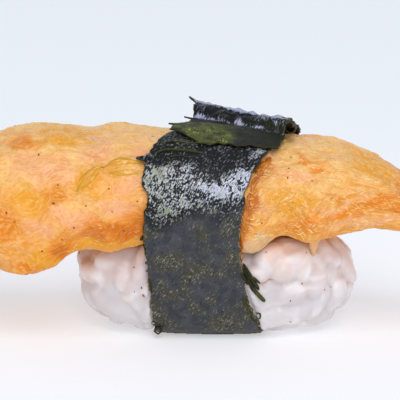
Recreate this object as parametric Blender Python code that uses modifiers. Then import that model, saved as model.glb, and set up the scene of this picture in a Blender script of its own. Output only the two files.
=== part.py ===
"""Tempura salmon nigiri, in metres, +Z up.

A pressed ball of sushi rice carries a long slice of battered, fried salmon, and a strip of nori is wrapped
round both. X runs along the slice, -Y is the front, and the origin is on the table, under the rice's middle.
"""

import math
import random

import bmesh
import bpy
import numpy as np
from mathutils import Matrix, Vector, noise
from mathutils.bvhtree import BVHTree

# Clearance between pieces that touch in the real food, and a wider one between the slice and the rice's core.
GAP = 0.00035
SEAT_GAP = 0.00060

# Rice: a bare core, and the grains that show, pressed into it.
RICE_LENGTH = 0.0456
RICE_DEPTH = 0.0270
RICE_TOP_Z = 0.0168
RICE_MIDDLE_Z = 0.0080
CORE_PLAN_SQUARENESS = 2.3
CORE_SIDE_SQUARENESS = 3.0
GRAIN_LENGTH = 0.0070
GRAIN_WIDTH = 0.0032
GRAIN_SHOWS = 0.0014
GRAIN_SPACING = 0.0034
GRAIN_LIFT = 0.45
GRAIN_TRIES = ((1, 0), (1, 70), (0.75, 0), (0.75, 70), (0.55, 0), (0.55, 70))
SPOT_TRIES = 6000

# Salmon slice, over its batter: the lines that its crest and its lower edge follow, as (x, z).
SALMON_LEFT = -0.0420
SALMON_RIGHT = 0.0376
CREST_LINE = (
    (SALMON_LEFT, 0.0252), (-0.0385, 0.0292), (-0.0346, 0.0309), (-0.0250, 0.0322), (-0.0202, 0.0313),
    (-0.0162, 0.0317), (-0.0090, 0.0314), (0.0010, 0.0304), (0.0130, 0.0301), (0.0182, 0.0293),
    (0.0230, 0.0278), (0.0262, 0.0265), (0.0292, 0.0244), (0.0330, 0.0219), (SALMON_RIGHT, 0.0196),
)
LOWER_LINE = (
    (SALMON_LEFT, 0.0142), (-0.0385, 0.0112), (-0.0346, 0.0097), (-0.0306, 0.0080), (-0.0274, 0.0083),
    (-0.0253, 0.0093), (-0.0234, 0.0111), (-0.0154, 0.0119), (-0.0100, 0.0136), (0.0054, 0.0124),
    (0.0078, 0.0131), (0.0102, 0.0145), (0.0150, 0.0140), (0.0206, 0.0156), (SALMON_RIGHT, 0.0164),
)
# Half the slice's depth, as (x, half depth), and how far its underside arches over the rice, as (x, rise).
HALF_DEPTH_LINE = (
    (SALMON_LEFT, 0.0120), (-0.0340, 0.0137), (-0.0200, 0.0144), (0.0000, 0.0143), (0.0130, 0.0138),
    (0.0200, 0.0126), (0.0266, 0.0106), (0.0310, 0.0086), (SALMON_RIGHT, 0.0064),
)
ARCH_LINE = (
    (SALMON_LEFT, 0.0008), (-0.0270, 0.0026), (-0.0200, 0.0036), (0.0200, 0.0024), (SALMON_RIGHT, 0.0004)
)
ARCH_SHARE = 0.8
SALMON_LEFT_ROUNDING = 0.0066
SALMON_RIGHT_ROUNDING = 0.0046
SALMON_CROWN = 2.45
SALMON_KEEL = 2.9
WIDEST_SHARE = 0.42
CRAG_DEPTH = 0.00080
CRAG_LENGTH = 0.0048
CRAG_STRETCH = 1.6
RINGS_IN_MIDDLE = 56
RINGS_IN_END = 5
RING_POINTS = 42

# Nori strip. Its angle is 0 degrees at the front, 90 on top, and falls as the strip runs down the front,
# under the rice, up the back and over the top again, where its free end lies on its first turn.
NORI_THICKNESS = 0.00045
WRAP_AXIS_Z = 0.0150
WRAP_REACH = 0.0025
NORI_START = 78
NORI_END = -299
SECOND_TURN_STARTS = -215
SECOND_TURN_FULL = -262
# The strip's left and right edge, as (degrees, x).
NORI_LEFT_LINE = (
    (NORI_END, -0.0074), (-280, -0.0062), (-268, -0.0042), (-255, -0.0034), (-225, -0.0024), (-180, -0.0032),
    (-90, -0.0086), (-50, -0.0099), (-20, -0.0109), (5, -0.0112), (28, -0.0116), (45, -0.0115),
    (60, -0.0098), (NORI_START, -0.0070),
)
NORI_RIGHT_LINE = (
    (NORI_END, 0.0098), (-280, 0.0112), (-260, 0.0130), (-225, 0.0138), (-180, 0.0130), (-90, 0.0078),
    (-50, 0.0066), (-35, 0.0052), (-15, 0.0041), (5, 0.0037), (20, 0.0038), (38, 0.0051),
    (50, 0.0068), (60, 0.0083), (NORI_START, 0.0100),
)
# How much less far the free end reaches at its left corner, and over what share of its width that fades.
FREE_END_STARTS = -272
FREE_END_LEFT_REACH = 0.45
FREE_END_SLANT = 0.35
# The loose pleat that stands up where the strip crosses the crest: it runs from back left to front right.
PLEAT_LEFT_ANGLE = -249
PLEAT_RIGHT_ANGLE = -275
PLEAT_HALF_ANGLE = 10
PLEAT_LEFT_HEIGHT = 0.0028
PLEAT_MIDDLE_HEIGHT = 0.0018
PLEAT_RIGHT_HEIGHT = 0.0019
# Torn points along the strip's left edge, as (degrees, reach, half angle).
LEFT_TEARS = ((52, 0.0012, 4), (-281, 0.0008, 4), (-263, 0.0010, 4), (-249, 0.0012, 4))
NORI_WAVE = 0.00022
NORI_WAVE_LENGTH = 0.0042
NORI_FLAT_BELOW_Z = 0.0025
NORI_WAVED_ABOVE_Z = 0.0060
ON_THE_FLAT = 0.00002
EDGE_RAGGEDNESS = 0.00030
NORI_COLUMNS = 9
NORI_STEP = 5.8
PLEAT_STEP = 3.3
# Shreds that hang from the strip's right edge at the front, as (top x, top z, foot x, foot z, width).
SHREDS = ((0.0030, 0.0131, 0.0067, 0.0084, 0.0012), (0.0060, 0.0096, 0.0075, 0.0066, 0.0011))
SHRED_THICKNESS = 0.0005
SHRED_SETBACK = 0.0003


def material(name, colour, roughness):
    """A plain Principled material."""
    made = bpy.data.materials.new(name)
    made.use_nodes = True
    shader = made.node_tree.nodes["Principled BSDF"]
    shader.inputs["Base Color"].default_value = (*colour, 1)
    shader.inputs["Roughness"].default_value = roughness
    return made


def object_of(name, shape, collection, finish=None):
    """An object made from a bmesh, which is used up."""
    mesh = bpy.data.meshes.new(name)
    shape.to_mesh(mesh)
    shape.free()
    made = bpy.data.objects.new(name, mesh)
    if finish:
        mesh.materials.append(finish)
    collection.objects.link(made)
    return made


def smooth(points, at):
    """Height at this place of the smooth curve through (place, height) points in rising order."""
    places = np.array([p[0] for p in points])
    heights = np.array([p[1] for p in points])
    slopes = np.gradient(heights, places)
    at = min(max(at, places[0]), places[-1])
    i = min(int(np.searchsorted(places, at, "right")) - 1, len(places) - 2)
    span = places[i + 1] - places[i]
    t = (at - places[i]) / span
    return float(
        (2 * t**3 - 3 * t**2 + 1) * heights[i]
        + (t**3 - 2 * t**2 + t) * span * slopes[i]
        + (3 * t**2 - 2 * t**3) * heights[i + 1]
        + (t**3 - t**2) * span * slopes[i + 1]
    )


def ease(value, low, high):
    """0 below low, 1 above high, and a soft step between them."""
    t = min(max((value - low) / (high - low), 0), 1)
    return t * t * (3 - 2 * t)


def signed_power(value, power):
    return math.copysign(abs(value) ** power, value)


def baked(obj):
    """A new mesh of the object with its modifiers applied."""
    bpy.context.view_layer.update()
    graph = bpy.context.evaluated_depsgraph_get()
    return bpy.data.meshes.new_from_object(obj.evaluated_get(graph))


def bake_modifiers(obj):
    """Replaces the object's mesh by its evaluated one and drops the modifiers."""
    mesh = baked(obj)
    obj.modifiers.clear()
    obj.data = mesh


def tree_of(obj):
    shape = bmesh.new()
    shape.from_mesh(obj.data)
    tree = BVHTree.FromBMesh(shape)
    shape.free()
    return tree


# ---- Rice core ----

CORE_MIDDLE = Vector((0, 0, RICE_MIDDLE_Z))
CORE_HALF = Vector((RICE_LENGTH / 2, RICE_DEPTH / 2, RICE_TOP_Z - RICE_MIDDLE_Z))
CORE_HALF -= Vector((GRAIN_SHOWS, GRAIN_SHOWS, GRAIN_SHOWS / 2))
CORE_BOTTOM_Z = NORI_THICKNESS + GAP


def core_size(local):
    """1 on the core's surface, less inside it, for a point measured from its middle."""
    x, y, z = (abs(l / h) for l, h in zip(local, CORE_HALF))
    plan = (x**CORE_PLAN_SQUARENESS + y**CORE_PLAN_SQUARENESS) ** (1 / CORE_PLAN_SQUARENESS)
    return (plan**CORE_SIDE_SQUARENESS + z**CORE_SIDE_SQUARENESS) ** (1 / CORE_SIDE_SQUARENESS)


def core_point(direction):
    """Where the core's surface lies in this direction from its middle, before its bottom is flattened."""
    return CORE_MIDDLE + direction / core_size(direction)


def core_normal(point):
    """Outward direction of the core at a point on it."""
    local, step = point - CORE_MIDDLE, 0.0001
    size = core_size(local)
    slope = [core_size(local + Vector([step * (i == axis) for i in range(3)])) - size for axis in range(3)]
    return Vector(slope).normalized()


def rice_core(collection, finish):
    """The bare rice body: a soft loaf with a flat underside."""
    shape = bmesh.new()
    bmesh.ops.create_uvsphere(shape, u_segments=32, v_segments=16, radius=1)
    for vertex in shape.verts:
        vertex.co = core_point(Vector([c * h for c, h in zip(vertex.co, CORE_HALF)]))
        vertex.co.z = max(vertex.co.z, CORE_BOTTOM_Z)
    return object_of("rice", shape, collection, finish)


# ---- Salmon ----


def end_rounding(x):
    """Share of its full section that the slice has at x: it falls to 0 at both ends."""
    share = 1.0
    for reach in ((x - SALMON_LEFT) / SALMON_LEFT_ROUNDING, (SALMON_RIGHT - x) / SALMON_RIGHT_ROUNDING):
        share *= math.sqrt(1 - (1 - min(max(reach, 0), 1)) ** 2)
    return share


def salmon_section(x, angle):
    """Point of the slice's outline at x, with the angle 0 at the back and 90 degrees on the crest."""
    share = end_rounding(x)
    crest, lower = smooth(CREST_LINE, x), smooth(LOWER_LINE, x)
    half_depth = smooth(HALF_DEPTH_LINE, x) * share
    middle = lower + (crest - lower) * WIDEST_SHARE
    c, s = math.cos(angle), math.sin(angle)
    if s >= 0:
        y = half_depth * signed_power(c, 2 / SALMON_CROWN)
        return Vector((x, y, middle + (crest - middle) * share * s ** (2 / SALMON_CROWN)))
    y = half_depth * signed_power(c, 2 / SALMON_KEEL)
    z = middle - (middle - lower) * share * (-s) ** (2 / SALMON_KEEL)
    arch = smooth(ARCH_LINE, x) * share * max(0, 1 - (c / ARCH_SHARE) ** 2)
    return Vector((x, y, z + arch))


def salmon_places():
    """Where the slice's rings stand along X: closer together over the rounded ends."""
    ends = [1 - math.cos(math.pi / 2 * (i + 1) / RINGS_IN_END) for i in range(RINGS_IN_END)]
    left = [SALMON_LEFT + SALMON_LEFT_ROUNDING * e for e in ends]
    right = [SALMON_RIGHT - SALMON_RIGHT_ROUNDING * e for e in ends]
    return left + list(np.linspace(left[-1], right[-1], RINGS_IN_MIDDLE + 2)[1:-1]) + right[::-1]


def add_crags(shape):
    """Raises and sinks the crust in soft crags, deepest on the crest and the sides."""
    shape.normal_update()
    moves = []
    for vertex in shape.verts:
        spot = Vector((vertex.co.x / CRAG_STRETCH, vertex.co.y, vertex.co.z)) / CRAG_LENGTH
        depth = 0.7 * noise.noise(spot) + 0.45 * noise.noise(spot * 2.3 + Vector((7, 3, 5)))
        moves.append(vertex.normal * depth * CRAG_DEPTH)
    for vertex, move in zip(shape.verts, moves):
        vertex.co += move


def salmon(collection, finish):
    """The battered slice: rings along X, closed by a point at each end, laid on the rice's core."""
    shape = bmesh.new()
    angles = [2 * math.pi * i / RING_POINTS for i in range(RING_POINTS)]
    rings = [[shape.verts.new(salmon_section(x, a)) for a in angles] for x in salmon_places()]
    tips = [shape.verts.new(salmon_section(x, 0)) for x in (SALMON_LEFT, SALMON_RIGHT)]
    for near, far in zip(rings, rings[1:]):
        for i in range(RING_POINTS):
            j = (i + 1) % RING_POINTS
            shape.faces.new((near[i], near[j], far[j], far[i]))
    for i in range(RING_POINTS):
        j = (i + 1) % RING_POINTS
        shape.faces.new((tips[0], rings[0][j], rings[0][i]))
        shape.faces.new((tips[1], rings[-1][i], rings[-1][j]))
    bmesh.ops.recalc_face_normals(shape, faces=shape.faces)
    add_crags(shape)
    for vertex in shape.verts:
        outward = (vertex.co - CORE_MIDDLE).normalized()
        shortfall = (core_point(outward) - CORE_MIDDLE).length + SEAT_GAP - (vertex.co - CORE_MIDDLE).length
        vertex.co += outward * max(0, shortfall)
    bmesh.ops.triangulate(shape, faces=shape.faces)
    made = object_of("salmon", shape, collection, finish)
    made.data.shade_smooth()
    return made


# ---- Nori ----


def wrap_form(objects):
    """The taut shape that a strip round these objects touches: the convex hull of their middle stretch."""
    low = min(p[1] for p in NORI_LEFT_LINE) - WRAP_REACH
    high = max(p[1] for p in NORI_RIGHT_LINE) + WRAP_REACH
    shape = bmesh.new()
    for obj in objects:
        for vertex in obj.data.vertices:
            if low < vertex.co.x < high:
                shape.verts.new(vertex.co)
    bmesh.ops.convex_hull(shape, input=shape.verts)
    tree = BVHTree.FromBMesh(shape)
    shape.free()
    return tree


def pleat_height(degrees, across):
    """How far the loose pleat lifts the strip here."""
    middle = PLEAT_LEFT_ANGLE + (PLEAT_RIGHT_ANGLE - PLEAT_LEFT_ANGLE) * across
    height = smooth(((0, PLEAT_LEFT_HEIGHT), (0.5, PLEAT_MIDDLE_HEIGHT), (1, PLEAT_RIGHT_HEIGHT)), across)
    off = abs(degrees - middle) / PLEAT_HALF_ANGLE
    return height * math.cos(math.pi / 2 * off) ** 1.3 if off < 1 else 0.0


def nori_edges(degrees):
    """The strip's left and right edge along X at this angle, with their ragged line and torn points."""
    ragged = [EDGE_RAGGEDNESS * noise.noise(Vector((degrees / 9, side, 0))) for side in (3.5, 8.5)]
    tear = sum(reach * max(0, 1 - abs(degrees - at) / wide) for at, reach, wide in LEFT_TEARS)
    return smooth(NORI_LEFT_LINE, degrees) + ragged[0] - tear, smooth(NORI_RIGHT_LINE, degrees) + ragged[1]


def nori_point(form, degrees, across):
    """Point on the middle of the strip's thickness."""
    left, right = nori_edges(degrees)
    x = left + (right - left) * across
    if degrees < FREE_END_STARTS:
        reach = FREE_END_LEFT_REACH + (1 - FREE_END_LEFT_REACH) * ease(across, 0, FREE_END_SLANT)
        degrees = FREE_END_STARTS + (degrees - FREE_END_STARTS) * reach
    angle = math.radians(degrees)
    outward = Vector((0, -math.cos(angle), math.sin(angle)))
    axis = Vector((x, 0, WRAP_AXIS_Z))
    hit = form.ray_cast(axis + outward * 0.1, -outward)[0]
    second_turn = ease(-degrees, -SECOND_TURN_STARTS, -SECOND_TURN_FULL)
    off = GAP + NORI_THICKNESS / 2 + second_turn * (NORI_THICKNESS + GAP)
    wave = 0.5 + 0.5 * noise.noise(hit / NORI_WAVE_LENGTH)
    off += ease(hit.z, NORI_FLAT_BELOW_Z, NORI_WAVED_ABOVE_Z) * NORI_WAVE * wave
    off += pleat_height(degrees, across)
    point = hit + outward * off
    if hit.z < CORE_BOTTOM_Z + ON_THE_FLAT:
        point.z = NORI_THICKNESS / 2
    return point


def nori_rows():
    """Angles of the strip's rows: close together over the pleat, wider elsewhere."""
    pleat_from = PLEAT_LEFT_ANGLE + PLEAT_HALF_ANGLE
    pleat_to = PLEAT_RIGHT_ANGLE - PLEAT_HALF_ANGLE
    rows = []
    stretches = (
        (NORI_START, pleat_from, NORI_STEP), (pleat_from, pleat_to, PLEAT_STEP), (pleat_to, NORI_END, NORI_STEP)
    )
    for start, end, step in stretches:
        rows += list(np.linspace(start, end, round(abs(end - start) / step) + 1)[:-1])
    return rows + [NORI_END]


def nori_strip(form, collection, finish):
    """One strip of nori, given its thickness by Solidify."""
    shape = bmesh.new()
    columns = [i / NORI_COLUMNS for i in range(NORI_COLUMNS + 1)]
    rows = [[shape.verts.new(nori_point(form, row, c)) for c in columns] for row in nori_rows()]
    for near, far in zip(rows, rows[1:]):
        for i in range(NORI_COLUMNS):
            shape.faces.new((near[i], near[i + 1], far[i + 1], far[i]))
    bmesh.ops.triangulate(shape, faces=shape.faces)
    made = object_of("nori_band", shape, collection, finish)
    skin = made.modifiers.new("thickness", "SOLIDIFY")
    skin.thickness = NORI_THICKNESS
    skin.offset = 0
    bake_modifiers(made)
    for vertex in made.data.vertices:
        vertex.co.z = max(vertex.co.z, 0)
    return made


def add_shreds(band, helpers):
    """Fuses the torn shreds at the front right edge to the strip."""
    front = tree_of(band).ray_cast(Vector((SHREDS[0][0], -1, SHREDS[0][1])), Vector((0, 1, 0)))[0].y
    for number, (top_x, top_z, foot_x, foot_z, width) in enumerate(SHREDS):
        y = front + NORI_THICKNESS / 2 + SHRED_SETBACK * number
        top, foot = Vector((top_x, y, top_z)), Vector((foot_x, y, foot_z))
        shape = bmesh.new()
        bmesh.ops.create_cube(shape, size=1)
        turn = (foot - top).to_track_quat("Z", "Y").to_matrix().to_4x4()
        size = Matrix.Diagonal((width, SHRED_THICKNESS, (foot - top).length, 1))
        shape.transform(Matrix.Translation((top + foot) / 2) @ turn @ size)
        shred = object_of(f"shred_{number}", shape, helpers)
        join = band.modifiers.new(f"shred_{number}", "BOOLEAN")
        join.operation = "UNION"
        join.object = shred
    bake_modifiers(band)


# ---- Rice grains ----


def grain(centre, along, outward, length):
    """A low, closed rice grain with its long axis along one direction."""
    shape = bmesh.new()
    bmesh.ops.create_uvsphere(shape, u_segments=5, v_segments=4, radius=0.5)
    side = outward.cross(along).normalized()
    up = along.cross(side)
    turn = Matrix((side, up, along)).transposed().to_4x4()
    size = Matrix.Diagonal((GRAIN_WIDTH, GRAIN_WIDTH * 0.9, length, 1))
    shape.transform(Matrix.Translation(centre) @ turn @ size)
    return shape


def crosses(shape, trees):
    """Whether the grain comes closer than the gap to any of these pieces."""
    tree = BVHTree.FromBMesh(shape)
    return any(
        tree.overlap(other) or any(other.find_nearest(v.co, GAP)[0] for v in shape.verts) for other in trees
    )


def grain_spots(draw):
    """Points spread evenly over the core, each at least the spacing from the others."""
    spots = []
    for _ in range(SPOT_TRIES):
        direction = Vector([draw.gauss(0, 1) for _ in range(3)]).normalized()
        spot = core_point(direction)
        spot.z = max(spot.z, CORE_BOTTOM_Z)
        if all((spot - other).length > GRAIN_SPACING for other in spots):
            spots.append(spot)
    return spots


def add_grains(rice, others, helpers):
    """Fuses the grains to the core. One that would cross a neighbour is turned, cut short or left out."""
    draw = random.Random(11)
    trees = [tree_of(other) for other in others]
    kept = 0
    for spot in grain_spots(draw):
        outward = core_normal(spot) if spot.z > CORE_BOTTOM_Z else Vector((0, 0, -1))
        heading = Matrix.Rotation(draw.uniform(0, math.pi), 3, outward) @ outward.orthogonal().normalized()
        centre = spot + outward * (GRAIN_SHOWS - GRAIN_WIDTH * GRAIN_LIFT)
        for share, turn in GRAIN_TRIES:
            along = Matrix.Rotation(math.radians(turn), 3, outward) @ heading
            shape = grain(centre, along, outward, GRAIN_LENGTH * share)
            if not crosses(shape, trees):
                object_of(f"grain_{kept}", shape, helpers)
                kept += 1
                break
            shape.free()
    join = rice.modifiers.new("grains", "BOOLEAN")
    join.operation = "UNION"
    join.operand_type = "COLLECTION"
    join.collection = helpers


def table_cutter(collection):
    """A block under the table's surface, which presses the lowest grains flat."""
    shape = bmesh.new()
    bmesh.ops.create_cube(shape, size=1)
    shape.transform(Matrix.Translation((0, 0, -0.01)) @ Matrix.Diagonal((0.1, 0.1, 0.02, 1)))
    made = object_of("table_cutter", shape, collection)
    made.hide_render = True
    made.display_type = "WIRE"
    return made


def keep_largest(obj):
    """Drops loose scraps and fills sealed hollows, by keeping only the outer shell."""
    shape = bmesh.new()
    shape.from_mesh(obj.data)
    left, shells = set(shape.verts), []
    while left:
        shell, edge = set(), [left.pop()]
        while edge:
            vertex = edge.pop()
            shell.add(vertex)
            near = {e.other_vert(vertex) for e in vertex.link_edges} & left
            left -= near
            edge += near
        shells.append(shell)
    shells.sort(key=len)
    for shell in shells[:-1]:
        bmesh.ops.delete(shape, geom=list(shell), context="VERTS")
    bmesh.ops.triangulate(shape, faces=shape.faces)
    shape.to_mesh(obj.data)
    shape.free()


def remove_collection(collection):
    for obj in list(collection.objects):
        bpy.data.objects.remove(obj)
    bpy.data.collections.remove(collection)


def new_collection(name, hidden=False):
    made = bpy.data.collections.new(name)
    bpy.context.scene.collection.children.link(made)
    made.hide_render = hidden
    return made


def main():
    for obj in list(bpy.data.objects):
        bpy.data.objects.remove(obj)
    parts = new_collection("tempura_salmon_nigiri")
    grains = new_collection("rice_grains", hidden=True)
    cutters = new_collection("cutters", hidden=True)

    rice = rice_core(parts, material("rice", (0.80, 0.74, 0.70), 0.35))
    slice_of_salmon = salmon(parts, material("fried_batter", (0.83, 0.44, 0.12), 0.45))
    band = nori_strip(wrap_form([rice, slice_of_salmon]), parts, material("nori", (0.03, 0.04, 0.03), 0.35))
    add_shreds(band, cutters)

    add_grains(rice, [slice_of_salmon, band], grains)
    bake_modifiers(rice)
    cut = rice.modifiers.new("table", "BOOLEAN")
    cut.operation = "DIFFERENCE"
    cut.object = table_cutter(cutters)
    bake_modifiers(rice)
    keep_largest(rice)
    rice.data.shade_smooth()
    rice.data.set_sharp_from_angle(angle=math.radians(40))
    remove_collection(grains)
    remove_collection(cutters)


main()
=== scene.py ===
"""Looks of the tempura salmon nigiri: pressed sushi rice, battered, fried salmon and a nori band.

Sizes are in millimetres, times MM. X runs along the slice, -Y is the front, and the table is at Z = 0.
"""

import math
import random

import bmesh
import bpy
import numpy as np
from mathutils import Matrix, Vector, noise
from mathutils.bvhtree import BVHTree


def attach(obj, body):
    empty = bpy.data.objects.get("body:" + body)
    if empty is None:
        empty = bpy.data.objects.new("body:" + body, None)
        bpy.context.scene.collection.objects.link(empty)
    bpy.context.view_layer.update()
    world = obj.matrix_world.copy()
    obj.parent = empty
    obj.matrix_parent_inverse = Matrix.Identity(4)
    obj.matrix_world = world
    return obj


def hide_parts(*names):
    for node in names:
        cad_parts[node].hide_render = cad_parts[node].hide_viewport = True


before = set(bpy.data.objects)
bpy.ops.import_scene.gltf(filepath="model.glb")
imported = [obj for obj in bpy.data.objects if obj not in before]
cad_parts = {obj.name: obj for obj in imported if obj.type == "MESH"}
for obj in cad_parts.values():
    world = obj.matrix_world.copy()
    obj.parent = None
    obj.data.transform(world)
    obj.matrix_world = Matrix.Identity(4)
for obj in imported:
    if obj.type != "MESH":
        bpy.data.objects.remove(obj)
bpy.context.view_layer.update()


# ---- Sushi rice ----
# Short-grain rice, steamed, seasoned with vinegar and pressed into a ball by hand. The grains are swollen
# and sticky, about 7 mm by 3 mm, lie along the ball's surface and are pressed flat on the table.

MM = 0.001
CORE_MIDDLE = Vector((0, 0, 8.0)) * MM
CORE_HALF = Vector((21.4, 12.1, 8.1)) * MM
CORE_PLAN_SQUARENESS = 2.3
CORE_SIDE_SQUARENESS = 3.0
CORE_BOTTOM_Z = 0.8 * MM
GRAIN_LENGTH = 7.6 * MM
GRAIN_WIDTH = 3.9 * MM
GRAIN_FLATNESS = 0.85
GRAIN_BLUNTNESS = 2.6
GRAIN_SHOWS = 1.2 * MM
GRAIN_SPACING = 4.0 * MM
GRAIN_TILT = 0.16
GRAIN_BEND = 0.35
GRAIN_RINGS = 9
GRAIN_SIDES = 12
SPOT_TRIES = 9000
# Grains that stand out at the front, as (x, z, length, width, degrees from level, how far pushed out).
FRONT_GRAINS = (
    (9.0, 14.0, 6.8, 4.8, 50, 1.6), (11.6, 15.2, 6.6, 5.4, 20, 2.6), (11.4, 12.4, 7.4, 4.8, 30, 1.1),
    (14.0, 12.8, 6.8, 4.4, 80, 1.2), (16.4, 14.0, 6.8, 3.8, 84, 1.0), (6.2, 10.6, 4.8, 3.6, 20, 0.3),
    (16.2, 9.6, 7.8, 4.2, 80, 0.3), (20.3, 11.4, 8.8, 3.6, 84, 0.2), (12.2, 7.4, 7.0, 4.6, 16, 0.2),
    (15.8, 5.0, 7.4, 4.6, 50, 0), (19.0, 6.0, 6.0, 3.6, 56, 0.1), (8.6, 2.8, 9.0, 4.4, 4, 0.2),
    (6.8, 6.6, 7.2, 4.2, 120, 0), (18.0, 13.2, 6.0, 3.6, 96, 0.8), (12.8, 3.4, 5.6, 3.6, 30, 0),
    (-12.8, 7.6, 5.6, 4.8, 40, 0), (-17.4, 9.6, 9.0, 5.4, 104, 0.1), (-21.0, 12.6, 6.0, 4.0, 30, 0.1),
    (-15.6, 13.8, 9.0, 5.4, 16, 1.0), (-11.6, 12.4, 7.0, 4.4, 76, 0.6), (-14.4, 3.0, 9.0, 4.6, 170, 0),
    (-18.4, 4.8, 6.0, 4.2, 130, 0.1), (-10.2, 4.2, 6.0, 4.2, 50, 0), (-14.8, 10.2, 6.4, 3.6, 94, 0.2),
)
RICE_VOXEL = 0.26 * MM
RICE_SMOOTHING = 9
# Pressed grains are uneven, with creases where two meet. Noise is (size of a bump, shift, height).
SMEARED = (4.2, 4.1, 0.15)
FINELY_SMEARED = (1.1, 6.7, 0.02)
CREASES = (4.6, 8.3)
CREASE_DEPTH = 0.10


def core_size(local):
    """1 on the core's surface, less inside it, for a point measured from its middle."""
    x, y, z = (abs(l / h) for l, h in zip(local, CORE_HALF))
    plan = (x**CORE_PLAN_SQUARENESS + y**CORE_PLAN_SQUARENESS) ** (1 / CORE_PLAN_SQUARENESS)
    return (plan**CORE_SIDE_SQUARENESS + z**CORE_SIDE_SQUARENESS) ** (1 / CORE_SIDE_SQUARENESS)


def core_point(direction):
    """Where the core's surface lies in this direction from its middle, with its bottom flattened."""
    point = CORE_MIDDLE + direction / core_size(direction)
    point.z = max(point.z, CORE_BOTTOM_Z)
    return point


def core_normal(point):
    """Outward direction of the core at a point on it."""
    if point.z <= CORE_BOTTOM_Z:
        return Vector((0, 0, -1))
    local, step = point - CORE_MIDDLE, 0.1 * MM
    beside = [local + Vector([step * (i == axis) for i in range(3)]) for axis in range(3)]
    return Vector([core_size(spot) - core_size(local) for spot in beside]).normalized()


def tube(rings):
    """Vertices and faces of a closed tube through rings of points, with a point at each end."""
    sides = len(rings[1])
    points = [rings[0][0]] + [p for ring in rings[1:-1] for p in ring] + [rings[-1][0]]
    faces = []
    for r in range(len(rings) - 3):
        for i in range(sides):
            a, b = 1 + r * sides + i, 1 + r * sides + (i + 1) % sides
            faces.append((a, b, b + sides, a + sides))
    last = len(points) - 1
    for i in range(sides):
        j = (i + 1) % sides
        faces.append((0, 1 + j, 1 + i))
        faces.append((last, last - sides + i, last - sides + j))
    return points, faces


def rice_grain(centre, along, outward, length, width, bend):
    """One grain: blunt, slightly flattened and bent."""
    side = outward.cross(along).normalized()
    up = along.cross(side)
    turns = [2 * math.pi * i / GRAIN_SIDES for i in range(GRAIN_SIDES)]
    circle = [side * math.cos(a) + up * math.sin(a) * GRAIN_FLATNESS for a in turns]
    rings = []
    for r in range(GRAIN_RINGS):
        t = -math.cos(math.pi * r / (GRAIN_RINGS - 1))
        radius = width / 2 * (max(0, 1 - abs(t) ** GRAIN_BLUNTNESS)) ** 0.5
        middle = centre + along * t * length / 2 + side * bend * (1 - t * t)
        rings.append([middle + off * radius for off in circle])
    return tube(rings)


def rice_core():
    """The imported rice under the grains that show."""
    shape = bmesh.new()
    bmesh.ops.create_icosphere(shape, subdivisions=5, radius=1)
    points = [core_point(v.co.normalized()) for v in shape.verts]
    faces = [tuple(v.index for v in f.verts) for f in shape.faces]
    shape.free()
    return points, faces


def linked(name, data):
    """A new object in the scene that shows this mesh, light or camera."""
    made = bpy.data.objects.new(name, data)
    bpy.context.scene.collection.objects.link(made)
    return made


def assembled(name, parts):
    """One smooth object made of several pairs of points and faces."""
    points, faces = [], []
    for more_points, more_faces in parts:
        start = len(points)
        points += more_points
        faces += [tuple(start + i for i in face) for face in more_faces]
    mesh = bpy.data.meshes.new(name)
    mesh.from_pydata(points, [], faces)
    mesh.update()
    mesh.shade_smooth()
    return linked(name, mesh)


def bake_modifiers(obj):
    """Replaces the object's mesh by its evaluated one, shaded smooth, and drops the modifiers."""
    bpy.context.view_layer.update()
    graph = bpy.context.evaluated_depsgraph_get()
    mesh = bpy.data.meshes.new_from_object(obj.evaluated_get(graph))
    mesh.shade_smooth()
    obj.modifiers.clear()
    obj.data = mesh


def knead(obj, voxel, smoothing):
    """Makes one even skin of what the object holds, and softens it."""
    skin = obj.modifiers.new("skin", "REMESH")
    skin.mode = "VOXEL"
    skin.voxel_size = voxel
    soften = obj.modifiers.new("soften", "SMOOTH")
    soften.factor = 0.5
    soften.iterations = smoothing
    bake_modifiers(obj)
    keep_largest(obj.data)


def keep_largest(mesh):
    """Drops the closed hollows inside, and loose scraps, by keeping only the largest shell."""
    shape = bmesh.new()
    shape.from_mesh(mesh)
    left, shells = set(shape.verts), []
    while left:
        shell, edge = set(), [left.pop()]
        while edge:
            vertex = edge.pop()
            shell.add(vertex)
            near = {e.other_vert(vertex) for e in vertex.link_edges} & left
            left -= near
            edge += near
        shells.append(shell)
    shells.sort(key=len)
    for shell in shells[:-1]:
        bmesh.ops.delete(shape, geom=list(shell), context="VERTS")
    shape.to_mesh(mesh)
    shape.free()


def read_vertices(mesh, what="co"):
    """The vertices' places, or what else is named, as an array."""
    flat = np.empty(len(mesh.vertices) * 3, np.float32)
    mesh.vertices.foreach_get(what, flat)
    return flat.reshape(-1, 3).astype(float)


def write_points(mesh, points):
    """Moves the vertices to these points, and none of them below the table."""
    points[:, 2] = np.maximum(points[:, 2], 0)
    mesh.vertices.foreach_set("co", points.astype(np.float32).ravel())
    mesh.update()


def keep(mesh, name, values):
    """Keeps one number, or one point, for each vertex. A material reads them by this name."""
    flat = np.asarray(values, np.float32)
    kind, field = ("FLOAT", "value") if flat.ndim == 1 else ("FLOAT_VECTOR", "vector")
    mesh.attributes.new(name, kind, "POINT").data.foreach_set(field, flat.ravel())


def hollow_depth(mesh, rounds):
    """How far each vertex lies under the evened-out surface, in millimetres. It is negative on a bump."""
    edges = np.empty(len(mesh.edges) * 2, np.int32)
    mesh.edges.foreach_get("vertices", edges)
    a, b = edges.reshape(-1, 2).T
    start = read_vertices(mesh)
    count = len(start)
    near = np.bincount(a, minlength=count) + np.bincount(b, minlength=count)
    points = start.copy()
    for _ in range(rounds):
        for axis in range(3):
            column = points[:, axis]
            total = np.bincount(a, column[b], count) + np.bincount(b, column[a], count)
            points[:, axis] = 0.5 * column + 0.5 * total / near
    return ((points - start) * read_vertices(mesh, "normal")).sum(1) / MM


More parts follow.
